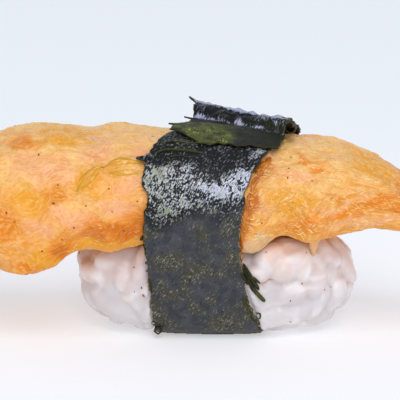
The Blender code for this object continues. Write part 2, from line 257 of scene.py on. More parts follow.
def noise_at(points, size, shift, height=1.0):
    """Smooth noise with bumps of this size and height, at points in millimetres."""
    shift = Vector((shift, shift, shift))
    return height * np.array([noise.noise(Vector(p) / size + shift) for p in points])


def ridged(points, size, shift):
    """The same noise folded into ridges: 1 along their tops and less beside them."""
    return 1 - 2 * np.abs(noise_at(points, size, shift))


def flat_on(outward, along):
    """This direction, laid flat on a surface."""
    return (along - outward * along.dot(outward)).normalized()


def grain_spots(draw):
    """(spot on the core, long axis, length, width, push) of each grain: those named, then by chance."""
    spots = []
    for x, z, length, width, tilt, push in FRONT_GRAINS:
        local = Vector((x, 0, z)) * MM - CORE_MIDDLE
        low, high = 0.0, 30 * MM
        for _ in range(30):
            local.y = -(low + high) / 2
            if core_size(local) < 1:
                low = -local.y
            else:
                high = -local.y
        turn = math.radians(tilt)
        along = Vector((math.cos(turn), 0, math.sin(turn)))
        spots.append((CORE_MIDDLE + local, along, length * MM, width * MM, push * MM))
    for _ in range(SPOT_TRIES):
        spot = core_point(Vector([draw.gauss(0, 1) for _ in range(3)]).normalized())
        if all((spot - other[0]).length > GRAIN_SPACING for other in spots):
            along = Vector([draw.gauss(0, 1) for _ in range(3)])
            length = GRAIN_LENGTH * draw.uniform(0.85, 1.1)
            spots.append((spot, along, length, GRAIN_WIDTH * draw.uniform(0.9, 1.12), 0))
    return spots


def build_rice():
    """The ball: core and grains kneaded into one sticky skin that lies flat on the table."""
    draw = random.Random(23)
    parts = [rice_core()]
    for spot, along, length, width, push in grain_spots(draw):
        outward = core_normal(spot)
        along = (flat_on(outward, along) + outward * draw.uniform(-GRAIN_TILT, GRAIN_TILT)).normalized()
        centre = spot + outward * (GRAIN_SHOWS * draw.uniform(0.45, 1.0) - width / 2 * GRAIN_FLATNESS)
        centre.y -= push
        bend = draw.uniform(-GRAIN_BEND, GRAIN_BEND) * MM
        parts.append(rice_grain(centre, along, outward, length, width, bend))
    made = assembled("rice_grains", parts)
    knead(made, RICE_VOXEL, RICE_SMOOTHING)
    points, normals = read_vertices(made.data), read_vertices(made.data, "normal")
    places = points / MM
    creases = np.maximum(ridged(places, *CREASES), 0) ** 8
    uneven = noise_at(places, *SMEARED) - CREASE_DEPTH * creases + noise_at(places, *FINELY_SMEARED)
    write_points(made.data, points + normals * uneven[:, None] * MM)
    keep(made.data, "hollow", hollow_depth(made.data, rounds=40))
    return made


def linear(hex_colour):
    """sRGB hex to the linear colour that a shader takes."""
    parts = [int(hex_colour[i : i + 2], 16) / 255 for i in (1, 3, 5)]
    return (*[p / 12.92 if p <= 0.04045 else ((p + 0.055) / 1.055) ** 2.4 for p in parts], 1)


def add_node(tree, kind, inputs=None, **settings):
    """Adds one shader node. An input is a value, a hex colour, a socket, or a node's first output."""
    node = tree.nodes.new("ShaderNode" + kind)
    for name, value in settings.items():
        setattr(node, name, value)
    for name, value in (inputs or {}).items():
        if isinstance(value, bpy.types.Node):
            value = value.outputs[0]
        if isinstance(value, bpy.types.NodeSocket):
            tree.links.new(value, node.inputs[name])
        else:
            node.inputs[name].default_value = linear(value) if isinstance(value, str) else value
    return node


def painted(tree, colour, layers):
    """A colour under layers. Each is its tone, the value that says where it lies, its span (value where it
    starts, value where it is full, how much it covers) or None for the value itself, and what scales that."""
    for tone, amount, span, *shares in layers:
        if span:
            limits = dict(zip(("From Min", "From Max", "To Max"), span))
            amount = add_node(tree, "MapRange", {"Value": amount, **limits}, interpolation_type="SMOOTHSTEP")
        for share in shares:
            amount = add_node(tree, "Math", {0: amount, 1: share}, operation="MULTIPLY")
        colour = add_node(tree, "MixRGB", {"Fac": amount, "Color1": colour, "Color2": tone})
    return colour


def dress(piece, surface):
    """Gives a piece the material that this function describes, which is named for the real stuff."""
    made = bpy.data.materials.new(surface.__name__)
    made.use_nodes = True
    tree = made.node_tree
    tree.nodes.clear()
    place = add_node(tree, "TexCoord").outputs["Object"]
    shader = add_node(tree, "BsdfPrincipled", surface(tree, place))
    add_node(tree, "OutputMaterial", {"Surface": shader})
    piece.data.materials.append(made)


def steamed_rice(tree, place):
    """Steamed rice: milky and a little translucent, with a moist starch gloss. Light goes about 1 mm deep, so
    the hollows between grains stay warm instead of dark. The top of the ball is painted pinker, and warmer
    still under the fish, as painted warm light bounced off the fish. The hollows are also painted a darker
    beige, as painted shade, and the bumps paler, as painted light."""
    height = add_node(tree, "SeparateXYZ", {"Vector": place}).outputs["Z"]
    hollow = add_node(tree, "Attribute", attribute_name="hollow").outputs["Fac"]
    clouds = add_node(tree, "TexNoise", {"Vector": place, "Scale": 1 / (4.5 * MM), "Detail": 3})
    raised = add_node(tree, "Math", {0: clouds, 1: 8 * MM, 2: height}, operation="MULTIPLY_ADD")
    # Some grains have a milky, opaque middle.
    milky = add_node(tree, "TexNoise", {
        "Vector": place, "Scale": 1 / (4.4 * MM), "Detail": 1, "Distortion": 0.9,
    })
    # Painted light: pinker higher up and warmer still under the fish, as warm light bounced off the fish.
    colour = painted(tree, "#d1cbcc", (
        ("#ddccc9", raised, (9.0 * MM, 15.0 * MM, 0.9)), ("#d8c8bd", clouds, (0.52, 0.66, 0.7)),
        # Painted light and shade: paler on the bumps, and a darker beige in the hollows on the next line.
        ("#dedadc", hollow, (-0.05, -0.40, 0.5)), ("#e8e4e6", milky, (0.44, 0.68, 0.8)),
        ("#d3c1b6", hollow, (0.06, 0.34, 0.6)), ("#fad6c2", raised, (16.5 * MM, 20.5 * MM, 0.7)),
    ))
    starch = add_node(tree, "TexNoise", {"Vector": place, "Scale": 1 / (0.9 * MM), "Detail": 4})
    relief = add_node(tree, "Bump", {"Strength": 0.15, "Distance": 0.2 * MM, "Height": starch})
    return {
        "Base Color": colour, "Normal": relief, "Roughness": 0.36, "IOR": 1.4, "Subsurface Weight": 0.65,
        "Subsurface Scale": 1.6 * MM, "Subsurface Radius": (1.0, 0.75, 0.65), "Coat Weight": 0.18,
        "Coat Roughness": 0.14,
    }


rice = build_rice()
dress(rice, steamed_rice)
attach(rice, "root")
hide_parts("rice")


# ---- Battered salmon ----
# A long slice of salmon in a thin egg batter, deep-fried. The crust is thin and flaky, drawn out in fine
# ridges towards the tail, blistered in places, golden to orange, and a little oily. It droops over the rice.

CRUST_VOXEL = 0.30 * MM
CRUST_SMOOTHING = 14
SEAT_GAP = 0.06 * MM
SEAT_REACH = 6 * MM
FRONT = Vector((0, -1, 0))
FRONT_FADES_Y = (-3, 4)
PROFILE_STEP = 2 * MM
# A strand's crease is this wide, as a share of its half width.
CREASE_WIDTH = 0.3
TYPICAL_HALF_HEIGHT = 9.0
TYPICAL_HALF_DEPTH = 13.5
# Where the tail starts along the slice, and where it is fully drawn out.
TAIL_X = (8.0, 24.0)
# The crust is curly on this stretch of the slice, as (starts, full, fades, gone), and near this height.
CURLY_X = (4, 9, 18, 25)
CURLY_Z = 21.5
CURLY_HALF_HEIGHT = (2.5, 6)
# How many times longer than wide the flakes are.
SHORT_FLAKE = 2.2
LONG_FLAKE = 4.4
# Noise that makes lines wind, as (size, reach). Without a seed it would differ from run to run.
WANDER_SEED = 3
WINDING = (3.8, 1.7)
CURLING = (1.9, 1.3)
DRIFTING = (2.6, 1.3)
# Noise in the crust, as (size of a bump, shift, height). Some is higher on the tail or where it is curly.
LUMPS = (4.6, 3.1, 0.26)
GRIT = (0.8, 9.2, 0.08)
RIDGES = (1.5, 7.7)
RIDGE_HEIGHT = 0.15
RIDGE_MORE_ON_TAIL = 0.10
FINE_RIDGES = (0.7, 1.3)
FINE_RIDGE_HEIGHT = 0.07
FINE_RIDGE_MORE_ON_TAIL = 0.03
FLAKES = (1.7, 5.9)
FLAKE_HEIGHT = 0.18
FLAKE_MORE_WHERE_CURLY = 0.08
CRUST_SINK = 0.06
# Along the slice, where the pale flake edges and the painted glints grow to full.
CRISP_AND_GLINT_X = (2, 9)
# Long blisters in the crust, as (from x, from z, to x, to z, width, height). A groove runs along each.
BLISTERS = (
    (-21.6, 24.0, -17.9, 28.0, 1.9, 0.36), (-17.7, 27.4, -11.6, 28.6, 1.7, 0.38),
    (-31.0, 26.2, -28.6, 23.4, 1.3, 0.2), (-25.2, 21.9, -24.4, 25.4, 1.3, 0.22),
    (18.0, 22.0, 26.0, 24.2, 1.2, 0.2), (9.2, 17.2, 5.2, 15.2, 2.6, 0.3),
)
BLISTER_TAPER = 0.75
BLISTER_CALM = 0.6
GROOVE_DEPTH = 0.35
GROOVE_OFF = 0.12
GROOVE_SPREAD = 0.02
# Between which shares of its size a patch fades, and how far the patches are shifted at the back.
PATCH_EDGE = (0.35, 1.25)
BACK_SHIFT_X = 4.0
# Patches of colour at the front, as (x, z, half length, half height, degrees from level).
PATCHES = {
    "orange": (
        (-30.2, 30.6, 3.6, 1.1, 4), (-24.9, 23.4, 1.9, 2.1, 60), (-33.6, 19.0, 4.2, 3.0, -30),
        (-15.8, 18.6, 6.6, 2.1, 0), (-24.4, 15.4, 3.4, 1.6, 34), (-11.8, 19.6, 3.4, 2.6, 10),
        (-29.6, 11.6, 3.0, 1.2, -10), (13.4, 18.8, 4.2, 1.5, 4), (19.6, 23.2, 3.0, 0.7, -6),
        (25.0, 22.0, 6.0, 1.2, 20), (31.0, 21.4, 4.6, 2.2, 16), (6.6, 27.6, 1.4, 1.2, 40),
        (4.8, 21.6, 0.9, 4.4, -6), (14.6, 28.2, 2.6, 0.6, -8), (16.6, 26.4, 1.8, 0.6, -10),
        (18.6, 20.4, 4.0, 1.2, 14), (28.4, 23.0, 6.4, 1.1, 20),
    ),
    "brown": (
        (-14.2, 18.3, 5.4, 1.5, 0), (-10.6, 19.4, 2.2, 2.0, 10), (-19.4, 17.6, 3.6, 1.0, 6),
        (-24.6, 15.0, 1.4, 1.0, 34), (5.6, 22.0, 0.8, 3.6, -6), (6.9, 27.2, 1.2, 1.2, 40),
    ),
    "cream": (
        (14.6, 25.4, 7.0, 4.0, -14), (10.0, 29.8, 5.0, 1.6, -6), (22.0, 26.4, 5.0, 1.8, -24),
        (-19.0, 31.0, 6.0, 1.6, 0), (-31.0, 26.0, 4.0, 2.0, 0), (-20.0, 22.0, 5.0, 2.2, -20),
        (-9.6, 31.0, 4.0, 1.6, 0), (17.6, 30.0, 6.0, 1.4, -16),
    ),
    "pale": (
        (-27.0, 27.4, 6.0, 2.2, -8), (-22.8, 20.2, 4.8, 1.9, -14), (-15.0, 21.8, 4.2, 1.5, -14),
        (-18.4, 29.8, 3.4, 1.4, 0), (-10.6, 29.4, 3.4, 1.6, -6), (-27.6, 18.4, 3.4, 1.8, -30),
        (-20.6, 17.2, 2.2, 0.9, 10), (-13.2, 25.4, 3.4, 1.6, 30), (7.6, 29.0, 2.4, 1.2, -10),
        (12.2, 26.4, 4.0, 1.2, -14), (6.6, 22.4, 1.8, 2.0, 80), (4.6, 14.2, 2.6, 1.4, 30),
        (20.4, 19.2, 3.8, 1.1, 8), (26.4, 18.8, 3.2, 1.0, 6), (16.4, 21.4, 3.0, 1.0, 0),
        (21.8, 22.6, 3.0, 0.8, 18),
    ),
    "yellow": (
        (-29.6, 22.6, 3.4, 2.6, 0), (-27.0, 13.2, 6.0, 2.4, 30), (-17.6, 16.2, 7.0, 1.2, 0),
        (-23.4, 31.6, 6.0, 1.2, 4), (12.0, 22.4, 5.6, 2.2, -6), (24.6, 26.4, 4.4, 1.4, -30),
        (10.0, 17.2, 4.6, 1.2, 0), (-20.4, 25.4, 2.0, 2.8, 40),
    ),
    "glaze": ((7.3, 27.6, 1.7, 1.5, 40), (5.2, 21.8, 1.4, 5.0, -10), (4.2, 17.2, 0.9, 2.8, 0)),
    "soaked": ((4.6, 14.6, 4.4, 2.0, 10), (15.3, 13.6, 2.6, 2.2, 90), (7.6, 16.6, 1.6, 1.4, 50)),
}
# A soft fold and a drip of batter under the lower edge, through these (x, y, z) marks. Their sizes are
# (half width, rise, sink, sides).
FOLD_MARKS = (
    (1.6, -13.2, 15.6), (4.4, -13.2, 15.5), (6.4, -12.6, 16.0), (7.8, -11.8, 17.2), (8.8, -11.0, 18.6),
)
FOLD_OUTWARD = Vector((0.15, -0.85, -0.5)).normalized()
FOLD_SIZES = (1.7, 0.8, 1.4, 20)
DRIP_MARKS = ((15.2, -9.6, 20.0), (15.2, -10.6, 17.4), (15.3, -10.3, 15.2), (15.3, -9.5, 12.6))
DRIP_SIZES = (0.8, 0.5, 0.8, 14)


def smooth(points, at):
    """Height at this place of the smooth curve through (place, height) points in rising order."""
    places = np.array([p[0] for p in points], float)
    heights = np.array([p[1] for p in points], float)
    slopes = np.gradient(heights, places)
    at = min(max(at, places[0]), places[-1])
    i = min(int(np.searchsorted(places, at, "right")) - 1, len(places) - 2)
    span = places[i + 1] - places[i]
    t = (at - places[i]) / span
    return float(
        (2 * t**3 - 3 * t**2 + 1) * heights[i] + (t**3 - 2 * t**2 + t) * span * slopes[i]
        + (3 * t**2 - 2 * t**3) * heights[i + 1] + (t**3 - t**2) * span * slopes[i + 1]
    )


def run_through(marks, count):
    """Evenly counted points along the smooth line through these (x, y, z) marks in millimetres."""
    columns = [list(enumerate(mark[axis] for mark in marks)) for axis in range(3)]
    places = np.linspace(0, len(marks) - 1, count)
    return [Vector([smooth(column, at) for column in columns]) * MM for at in places]


def points_and_faces(mesh):
    """The mesh's vertices and faces as two lists."""
    return [v.co for v in mesh.vertices], [tuple(p.vertices) for p in mesh.polygons]


def surface_of(obj):
    """A search tree of the object's mesh."""
    return BVHTree.FromPolygons(*points_and_faces(obj.data))


def strand(spots, half_width, rise, sink, sides, crease=0.0, taper=0.6, lens=1.0):
    """A closed strand through (point, outward) spots, with its sizes in millimetres. crease dents its
    middle, a higher taper points its ends more, and a higher lens thins it towards its sides."""
    half_width, rise, sink = half_width * MM, rise * MM, sink * MM
    rings = []
    for number, (point, outward) in enumerate(spots):
        ahead = spots[min(number + 1, len(spots) - 1)][0] - spots[max(number - 1, 0)][0]
        side = ahead.cross(outward).normalized()
        share = math.sin(math.pi * number / (len(spots) - 1)) ** taper
        ring = []
        for turn in range(sides):
            angle = 2 * math.pi * turn / sides
            across, up = math.cos(angle), math.sin(angle)
            height = abs(up) ** lens * share * sink
            if up > 0:
                height = -abs(up) ** lens * share * rise
                height *= 1 - crease * math.exp(-((across / CREASE_WIDTH) ** 2))
            ring.append(point + side * across * half_width * share - outward * height)
        rings.append(ring)
    return tube(rings)


def welded(node):
    """A copy of a CAD node's mesh with the corners that the export doubled joined again."""
    shape = bmesh.new()
    shape.from_mesh(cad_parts[node].data)
    bmesh.ops.remove_doubles(shape, verts=shape.verts, dist=0.01 * MM)
    mesh = bpy.data.meshes.new(node)
    shape.to_mesh(mesh)
    shape.free()
    return mesh


def profile(places, heights):
    """Middle and half height of the slice at each of these places along it."""
    steps = np.arange(places.min(), places.max() + PROFILE_STEP, PROFILE_STEP)
    bins = np.clip(np.digitize(places, steps) - 1, 0, len(steps) - 2)
    kept = [b for b in range(len(steps) - 1) if (bins == b).any()]
    middles = steps[kept] + PROFILE_STEP / 2
    low = np.interp(places, middles, [heights[bins == b].min() for b in kept])
    high = np.interp(places, middles, [heights[bins == b].max() for b in kept])
    return (low + high) / 2, (high - low) / 2


def ease(values, low, high):
    """0 below low, 1 above high, and a soft step between them."""
    t = np.clip((np.asarray(values, float) - low) / (high - low), 0, 1)
    return t * t * (3 - 2 * t)


def between(values, starts, full, fades, gone):
    """1 between two soft steps: one up from where it starts, and one down to where it is gone."""
    return ease(values, starts, full) * (1 - ease(values, fades, gone))


def wander(points, size, reach):
    """The points, each moved by noise, so that what is drawn with them gets winding edges."""
    noise.seed_set(WANDER_SEED)
    return points + np.array([noise.noise_vector(Vector(p) / size) * reach for p in points])


def patch_weight(patches, x, z):
    """1 in the middle of any of these patches, 0 outside them all."""
    weight = np.zeros(len(x))
    for at_x, at_z, half_length, half_height, tilt in patches:
        c, s = math.cos(math.radians(tilt)), math.sin(math.radians(tilt))
        along = ((x - at_x) * c + (z - at_z) * s) / half_length
        across = (-(x - at_x) * s + (z - at_z) * c) / half_height
        weight = np.maximum(weight, 1 - ease(np.hypot(along, across), *PATCH_EDGE))
    return weight


def blister_height(x, z):
    """How far the long blisters stand up, and 1 where there is one."""
    height, inside = np.zeros(len(x)), np.zeros(len(x))
    for x1, z1, x2, z2, width, rise in BLISTERS:
        length = math.hypot(x2 - x1, z2 - z1)
        along = ((x - x1) * (x2 - x1) + (z - z1) * (z2 - z1)) / length**2
        across = ((x - x1) * (z2 - z1) - (z - z1) * (x2 - x1)) / length
        half = width / 2 * np.sin(math.pi * np.clip(along, 0, 1)) ** BLISTER_TAPER
        share = np.clip(1 - (across / np.maximum(half, 0.01)) ** 2, 0, 1)
        share[(along <= 0) | (along >= 1)] = 0
        groove = GROOVE_DEPTH * np.exp(-((across - GROOVE_OFF * width) ** 2) / GROOVE_SPREAD)
        height += rise * np.sqrt(share) * (1 - groove)
        inside = np.maximum(inside, ease(share, 0, 0.3))
    return height, inside


def build_salmon():
    """The slice: the CAD form with its facets smoothed away, then crags, ridges, blisters and flakes."""
    fold = [(point, FOLD_OUTWARD) for point in run_through(FOLD_MARKS, 25)]
    drip = [(point, FRONT) for point in run_through(DRIP_MARKS, 21)]
    made = assembled("fried_salmon", [
        points_and_faces(welded("salmon")), strand(fold, *FOLD_SIZES), strand(drip, *DRIP_SIZES),
    ])
    knead(made, CRUST_VOXEL, CRUST_SMOOTHING)
    mesh = made.data
    points, normals = read_vertices(mesh), read_vertices(mesh, "normal")
    places = points / MM
    x, y, z = places.T
    middle_z, half_z = profile(x * MM, z * MM)
    middle_y, half_y = profile(x * MM, y * MM)
    # Places measured so that lines run along the slice and close in towards the tail.
    flow = np.stack([
        x, (y * MM - middle_y) / half_y * TYPICAL_HALF_DEPTH,
        (z * MM - middle_z) / half_z * TYPICAL_HALF_HEIGHT,
    ], 1)
    tail = ease(x, *TAIL_X)
    curly = between(x, *CURLY_X) * (1 - ease(abs(z - CURLY_Z), *CURLY_HALF_HEIGHT))
    winding = wander(flow, *WINDING) + curly[:, None] * (wander(flow, *CURLING) - flow)
    # Flakes are short on the thick part and drawn out on the tail.
    steps = np.arange(-60.0, 60.0, 0.5)
    drawn = np.cumsum(0.5 / (SHORT_FLAKE + (LONG_FLAKE - SHORT_FLAKE) * ease(steps, *TAIL_X)))
    stretch = np.stack([np.interp(winding[:, 0], steps, drawn), winding[:, 1], winding[:, 2]], 1)
    front = 1 - ease(y, *FRONT_FADES_Y)
    blister, on_blister = blister_height(x, z)
    rise = noise_at(places, *LUMPS) + (RIDGE_HEIGHT + RIDGE_MORE_ON_TAIL * tail) * ridged(stretch, *RIDGES)
    rise += (FINE_RIDGE_HEIGHT + FINE_RIDGE_MORE_ON_TAIL * tail) * ridged(stretch, *FINE_RIDGES)
    flaked = (FLAKE_HEIGHT + FLAKE_MORE_WHERE_CURLY * curly) * noise_at(winding, *FLAKES)
    rise += flaked + noise_at(places, *GRIT)
    rise = rise * (1 - BLISTER_CALM * on_blister * front) + blister * front - CRUST_SINK
    write_points(mesh, points + normals * rise[:, None] * MM)
    # Patches of colour lie at their places at the front, and shifted along at the back.
    drift = wander(places, *DRIFTING)
    for name, patches in PATCHES.items():
        at_front = patch_weight(patches, drift[:, 0], drift[:, 2])
        at_back = patch_weight(patches, BACK_SHIFT_X - drift[:, 0], drift[:, 2])
        keep(mesh, name, front * at_front + (1 - front) * at_back)
    # How much pale flake edge and painted glint the crust gets: half on the thick part, all of it towards the
    # tail.
    keep(mesh, "crisp", 0.5 + 0.5 * ease(x, *CRISP_AND_GLINT_X))
    keep(mesh, "blister", on_blister * front)
    keep(mesh, "hollow", hollow_depth(mesh, rounds=14))
    keep(mesh, "flow", stretch)
    return made


def fried_batter(tree, place):
    """Tempura batter fried in oil: golden, thin enough for the pink fish to show through, browned on raised
    edges and glossy with oil. Light goes about 1 mm deep. Flakes are 0.3 to 1 mm wide and a few mm long."""
    height = add_node(tree, "SeparateXYZ", {"Vector": place}).outputs["Z"]
    flow = add_node(tree, "Attribute", attribute_name="flow").outputs["Vector"]
    kept = {
        name: add_node(tree, "Attribute", attribute_name=name).outputs["Fac"]
        for name in (*PATCHES, "crisp", "blister", "hollow")
    }
    clouds = add_node(tree, "TexNoise", {"Vector": place, "Scale": 1 / (3.0 * MM), "Detail": 4})
    streaks = add_node(tree, "TexNoise", {"Vector": flow, "Scale": 0.9, "Detail": 5, "Roughness": 0.6})
    threads = add_node(tree, "TexNoise", {"Vector": flow, "Scale": 2.8, "Detail": 3, "Distortion": 0.5})
    # Each flake has browned a little differently, so it has its own tone.
    flakes = add_node(
        tree, "TexVoronoi", {"Vector": flow, "Scale": 1.15, "Smoothness": 0.25}, feature="SMOOTH_F1"
    )
    flake = add_node(tree, "SeparateColor", {"Color": flakes.outputs["Color"]}).outputs
    # Oil has drained down the sides, so the lower part is deeper in colour; this deeper colour is also
    # painted shade.
    raised = add_node(tree, "Math", {0: clouds, 1: 8 * MM, 2: height}, operation="MULTIPLY_ADD")
    # Each layer covers more on some streaks than on others.
    uneven = add_node(tree, "MapRange", {
        "Value": streaks, "From Min": 0.35, "From Max": 0.65, "To Min": 0.7, "To Max": 1.0,
    })
    colour = painted(tree, "#eba140", (
        ("#f2b05e", clouds, (0.35, 0.65, 1.0)), ("#ea9a2c", raised, (28 * MM, 19 * MM, 0.72), uneven),
        # The top is painted paler, as painted light from above.
        ("#ffd48c", raised, (29 * MM, 35 * MM, 0.8), uneven),
        ("#f4af78", flake["Red"], (0.64, 0.80, 0.36), uneven),
        ("#f7c67c", flake["Green"], (0.64, 0.80, 0.36), uneven),
        ("#e58d24", flake["Blue"], (0.72, 0.88, 0.36), uneven),
        ("#f6ba74", streaks, (0.48, 0.70, 0.35), uneven), ("#f8c67c", kept["cream"], None, 0.7, uneven),
        ("#f4b182", kept["pale"], None, 0.95, uneven), ("#eaa01c", kept["yellow"], None, 0.95, uneven),
        ("#e6840f", kept["orange"], None, uneven), ("#cb6a08", kept["brown"], None, uneven),
        # Hollows in the crust are painted deeper orange, as painted shade.
        ("#dc8018", kept["hollow"], (0.02, 0.16, 0.36), uneven),
        ("#dc841a", threads, (0.46, 0.34, 0.40), uneven), ("#dd9a22", kept["blister"], None, 0.4, uneven),
        ("#c4690c", kept["glaze"], None, 0.95, uneven), ("#dcb487", kept["soaked"], None, 1.1, uneven),
        # Pale lines along the flakes: their pale edges, partly painted highlights, and the palest, on the
        # next line, painted glints.
        ("#fbce8e", threads, (0.50, 0.60, 0.52), kept["crisp"], uneven),
        ("#fde4bc", threads, (0.61, 0.70, 0.54), kept["crisp"], uneven),
    ))
    pores = add_node(tree, "TexNoise", {
        "Vector": place, "Scale": 1 / (0.5 * MM), "Detail": 4, "Roughness": 0.6,
    })
    bumps = add_node(tree, "Math", {0: threads, 1: 1.2, 2: pores}, operation="MULTIPLY_ADD")
    relief = add_node(tree, "Bump", {"Strength": 0.9, "Distance": 0.20 * MM, "Height": bumps})
    wet = add_node(tree, "MapRange", {
        "Value": pores, "From Min": 0.35, "From Max": 0.7, "To Min": 0.22, "To Max": 0.46,
    })
    return {
        "Base Color": colour, "Normal": relief, "Roughness": wet, "IOR": 1.4, "Specular IOR Level": 0.22,
        "Subsurface Weight": 0.25, "Subsurface Scale": 1.0 * MM, "Subsurface Radius": (1.0, 0.5, 0.2),
        "Coat Weight": 0.08, "Coat Roughness": 0.12,
    }


def give_way(obj, hard, gap, reach):
    """Moves what lies inside a harder piece, or closer than the gap, back out of it."""
    for vertex in obj.data.vertices:
        spot, normal, _, _ = hard.find_nearest(vertex.co, reach)
        if spot:
            depth = gap - (vertex.co - spot).dot(normal)
            if depth > 0:
                vertex.co += normal * depth
    obj.data.update()


salmon = build_salmon()
dress(salmon, fried_batter)
give_way(rice, surface_of(salmon), SEAT_GAP, SEAT_REACH)
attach(salmon, "root")
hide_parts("salmon")


# ---- Batter petals and curls ----
# Bits of batter that ran off in the oil and set: thin amber petals, and fine crisp curls, most of them on
# the tail's side. All of them have fried on to the crust.

# Each petal as (half width, rise, then its (x, y, z) marks).
PETALS = (
    (0.95, 0.52, (-21.7, -13.8, 23.9), (-20.0, -13.0, 26.4), (-17.6, -11.8, 28.2)),
    (0.85, 0.50, (-17.9, -12.0, 28.0), (-14.8, -11.6, 29.0), (-10.9, -11.9, 28.6)),
    (0.62, 0.36, (-17.6, -12.5, 26.9), (-14.2, -12.6, 27.1), (-10.9, -12.5, 27.1)),
    (0.80, 0.42, (-16.4, 12.0, 27.4), (-13.6, 12.4, 26.0), (-10.6, 12.0, 26.4)),
    (0.80, 0.42, (14.0, 10.0, 26.0), (16.4, 10.0, 25.4), (19.2, 9.0, 26.0)),
)
PETAL_RINGS = 21
PETAL_SIDES = 20
PETAL_SINK = 0.12 * MM
PETAL_UNDERSIDE = 0.15
PETAL_CREASE = 0.3
# How far the veins shift from ring to ring, and from petal to petal.
VEIN_DRIFT = 0.06
VEIN_APART = 5
CURL_COUNT = 640
CURL_LENGTH = (0.7, 1.5)
CURL_HALF_WIDTH = (0.07, 0.12)
CURL_HEIGHT_SHARE = 0.9
CURL_UNDERSIDE = 0.12
CURL_MARKS = 5
CURL_RINGS = 7
CURL_SLANT = 0.6
CURL_CROOK = 0.35
CURL_WOBBLE = 0.4
# Most curls lie between these places along the slice, near CURLY_Z, and slant more there. Few lie elsewhere.
MANY_CURLS_X = (5, 25)
MANY_CURLS_HALF_HEIGHT = 6
STEEPER_SLANT = 2.4
CURLS_ELSEWHERE = 0.10
CURLS_ABOVE_SLOPE = -0.5


def laid(surface, marks, count):
    """(point, outward) spots along a line that is laid on a surface."""
    return [surface.find_nearest(point)[:2] for point in run_through(marks, count)]


def build_petals(surface):
    """The petals, with places for the veins that run along each."""
    parts, veins = [], []
    for number, (half_width, rise, *marks) in enumerate(PETALS):
        spots = laid(surface, marks, PETAL_RINGS)
        sunk = [(point - outward * PETAL_SINK, outward) for point, outward in spots]
        parts.append(
            strand(sunk, half_width, rise, PETAL_UNDERSIDE, PETAL_SIDES, PETAL_CREASE, taper=0.8, lens=1.7)
        )
        across = [half_width * math.cos(2 * math.pi * turn / PETAL_SIDES) for turn in range(PETAL_SIDES)]
        rings = [(0,), *[across] * (PETAL_RINGS - 2), (0,)]
        for ring, offs in enumerate(rings):
            veins += [(off, VEIN_DRIFT * ring, VEIN_APART * number) for off in offs]
    made = assembled("batter_petals", parts)
    keep(made.data, "veins", veins)
    return made


def build_curls(surface, source):
    """Short crooked ridges of crisp batter, scattered over the crust, most of them where it is curly."""
    draw = random.Random(41)
    mesh = source.data
    parts, tones = [], []
    while len(parts) < CURL_COUNT:
        vertex = mesh.vertices[draw.randrange(len(mesh.vertices))]
        x, _, z = vertex.co / MM
        in_curls = MANY_CURLS_X[0] < x < MANY_CURLS_X[1] and abs(z - CURLY_Z) < MANY_CURLS_HALF_HEIGHT
        if draw.random() > (1.0 if in_curls else CURLS_ELSEWHERE) or vertex.normal.z < CURLS_ABOVE_SLOPE:
            continue
        back, up = (draw.uniform(-CURL_SLANT, CURL_SLANT) for _ in range(2))
        along = flat_on(vertex.normal, Vector((1, back, up * (STEEPER_SLANT if in_curls else 1))))
        side = vertex.normal.cross(along)
        length = draw.uniform(*CURL_LENGTH)
        crook = draw.uniform(-CURL_CROOK, CURL_CROOK) * length
        marks = []
        for t in np.linspace(0, 1, CURL_MARKS):
            off = crook * math.sin(math.pi * t) * (1 + draw.uniform(-CURL_WOBBLE, CURL_WOBBLE))
            marks.append(vertex.co / MM + along * length * (t - 0.5) + side * off)
        half_width = draw.uniform(*CURL_HALF_WIDTH)
        spots = laid(surface, marks, CURL_RINGS)
        parts.append(strand(spots, half_width, half_width * CURL_HEIGHT_SHARE, CURL_UNDERSIDE, 6))
        tones += [draw.uniform(0.0, 0.7) if in_curls else draw.uniform(0.5, 1.0)] * len(parts[-1][0])
    made = assembled("batter_curls", parts)
    keep(made.data, "tint", tones)
    return made


def crisp_batter(tree, place):
    """Thin, crisp batter: pale cream to gold, harder and glossier than the crust that it sits on."""
    tint = add_node(tree, "Attribute", attribute_name="tint").outputs["Fac"]
    browned = add_node(tree, "TexNoise", {"Vector": place, "Scale": 1 / (2.4 * MM), "Detail": 3})
    colour = painted(tree, "#fad296", (
        ("#f2b262", tint, None), ("#f0a93c", browned, (0.4, 0.62, 0.75)),
    ))
    pores = add_node(tree, "TexNoise", {"Vector": place, "Scale": 1 / (0.3 * MM), "Detail": 2})
    relief = add_node(tree, "Bump", {"Strength": 0.5, "Distance": 0.08 * MM, "Height": pores})
    return {
        "Base Color": colour, "Normal": relief, "Roughness": 0.24, "IOR": 1.45, "Subsurface Weight": 0.2,
        "Subsurface Scale": 0.6 * MM, "Subsurface Radius": (1.0, 0.6, 0.3),
    }


def amber_batter(tree, _):
    """A thin petal of batter fried to amber: clear and glossy, with veins 0.2 to 0.4 mm wide along it."""
    veins = add_node(tree, "Attribute", attribute_name="veins").outputs["Vector"]
    lines = add_node(tree, "TexNoise", {"Vector": veins, "Scale": 2.4, "Detail": 3})
    colour = painted(tree, "#dd9a26", (
        ("#cf9220", lines, (0.48, 0.38, 0.85)), ("#efb354", lines, (0.50, 0.62, 0.85)),
        # The palest vein lines are painted highlights along the petal.
        ("#fadfa4", lines, (0.62, 0.72, 0.85)),
    ))
    relief = add_node(tree, "Bump", {"Strength": 0.8, "Distance": 0.2 * MM, "Height": lines})
    return {
        "Base Color": colour, "Normal": relief, "Roughness": 0.2, "IOR": 1.45, "Subsurface Weight": 0.3,
        "Subsurface Scale": 0.8 * MM, "Subsurface Radius": (1.0, 0.6, 0.2),
    }


crust = surface_of(salmon)
petals = build_petals(crust)
dress(petals, amber_batter)
curls = build_curls(crust, salmon)
dress(curls, crisp_batter)
for piece in (petals, curls):
    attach(piece, "root")


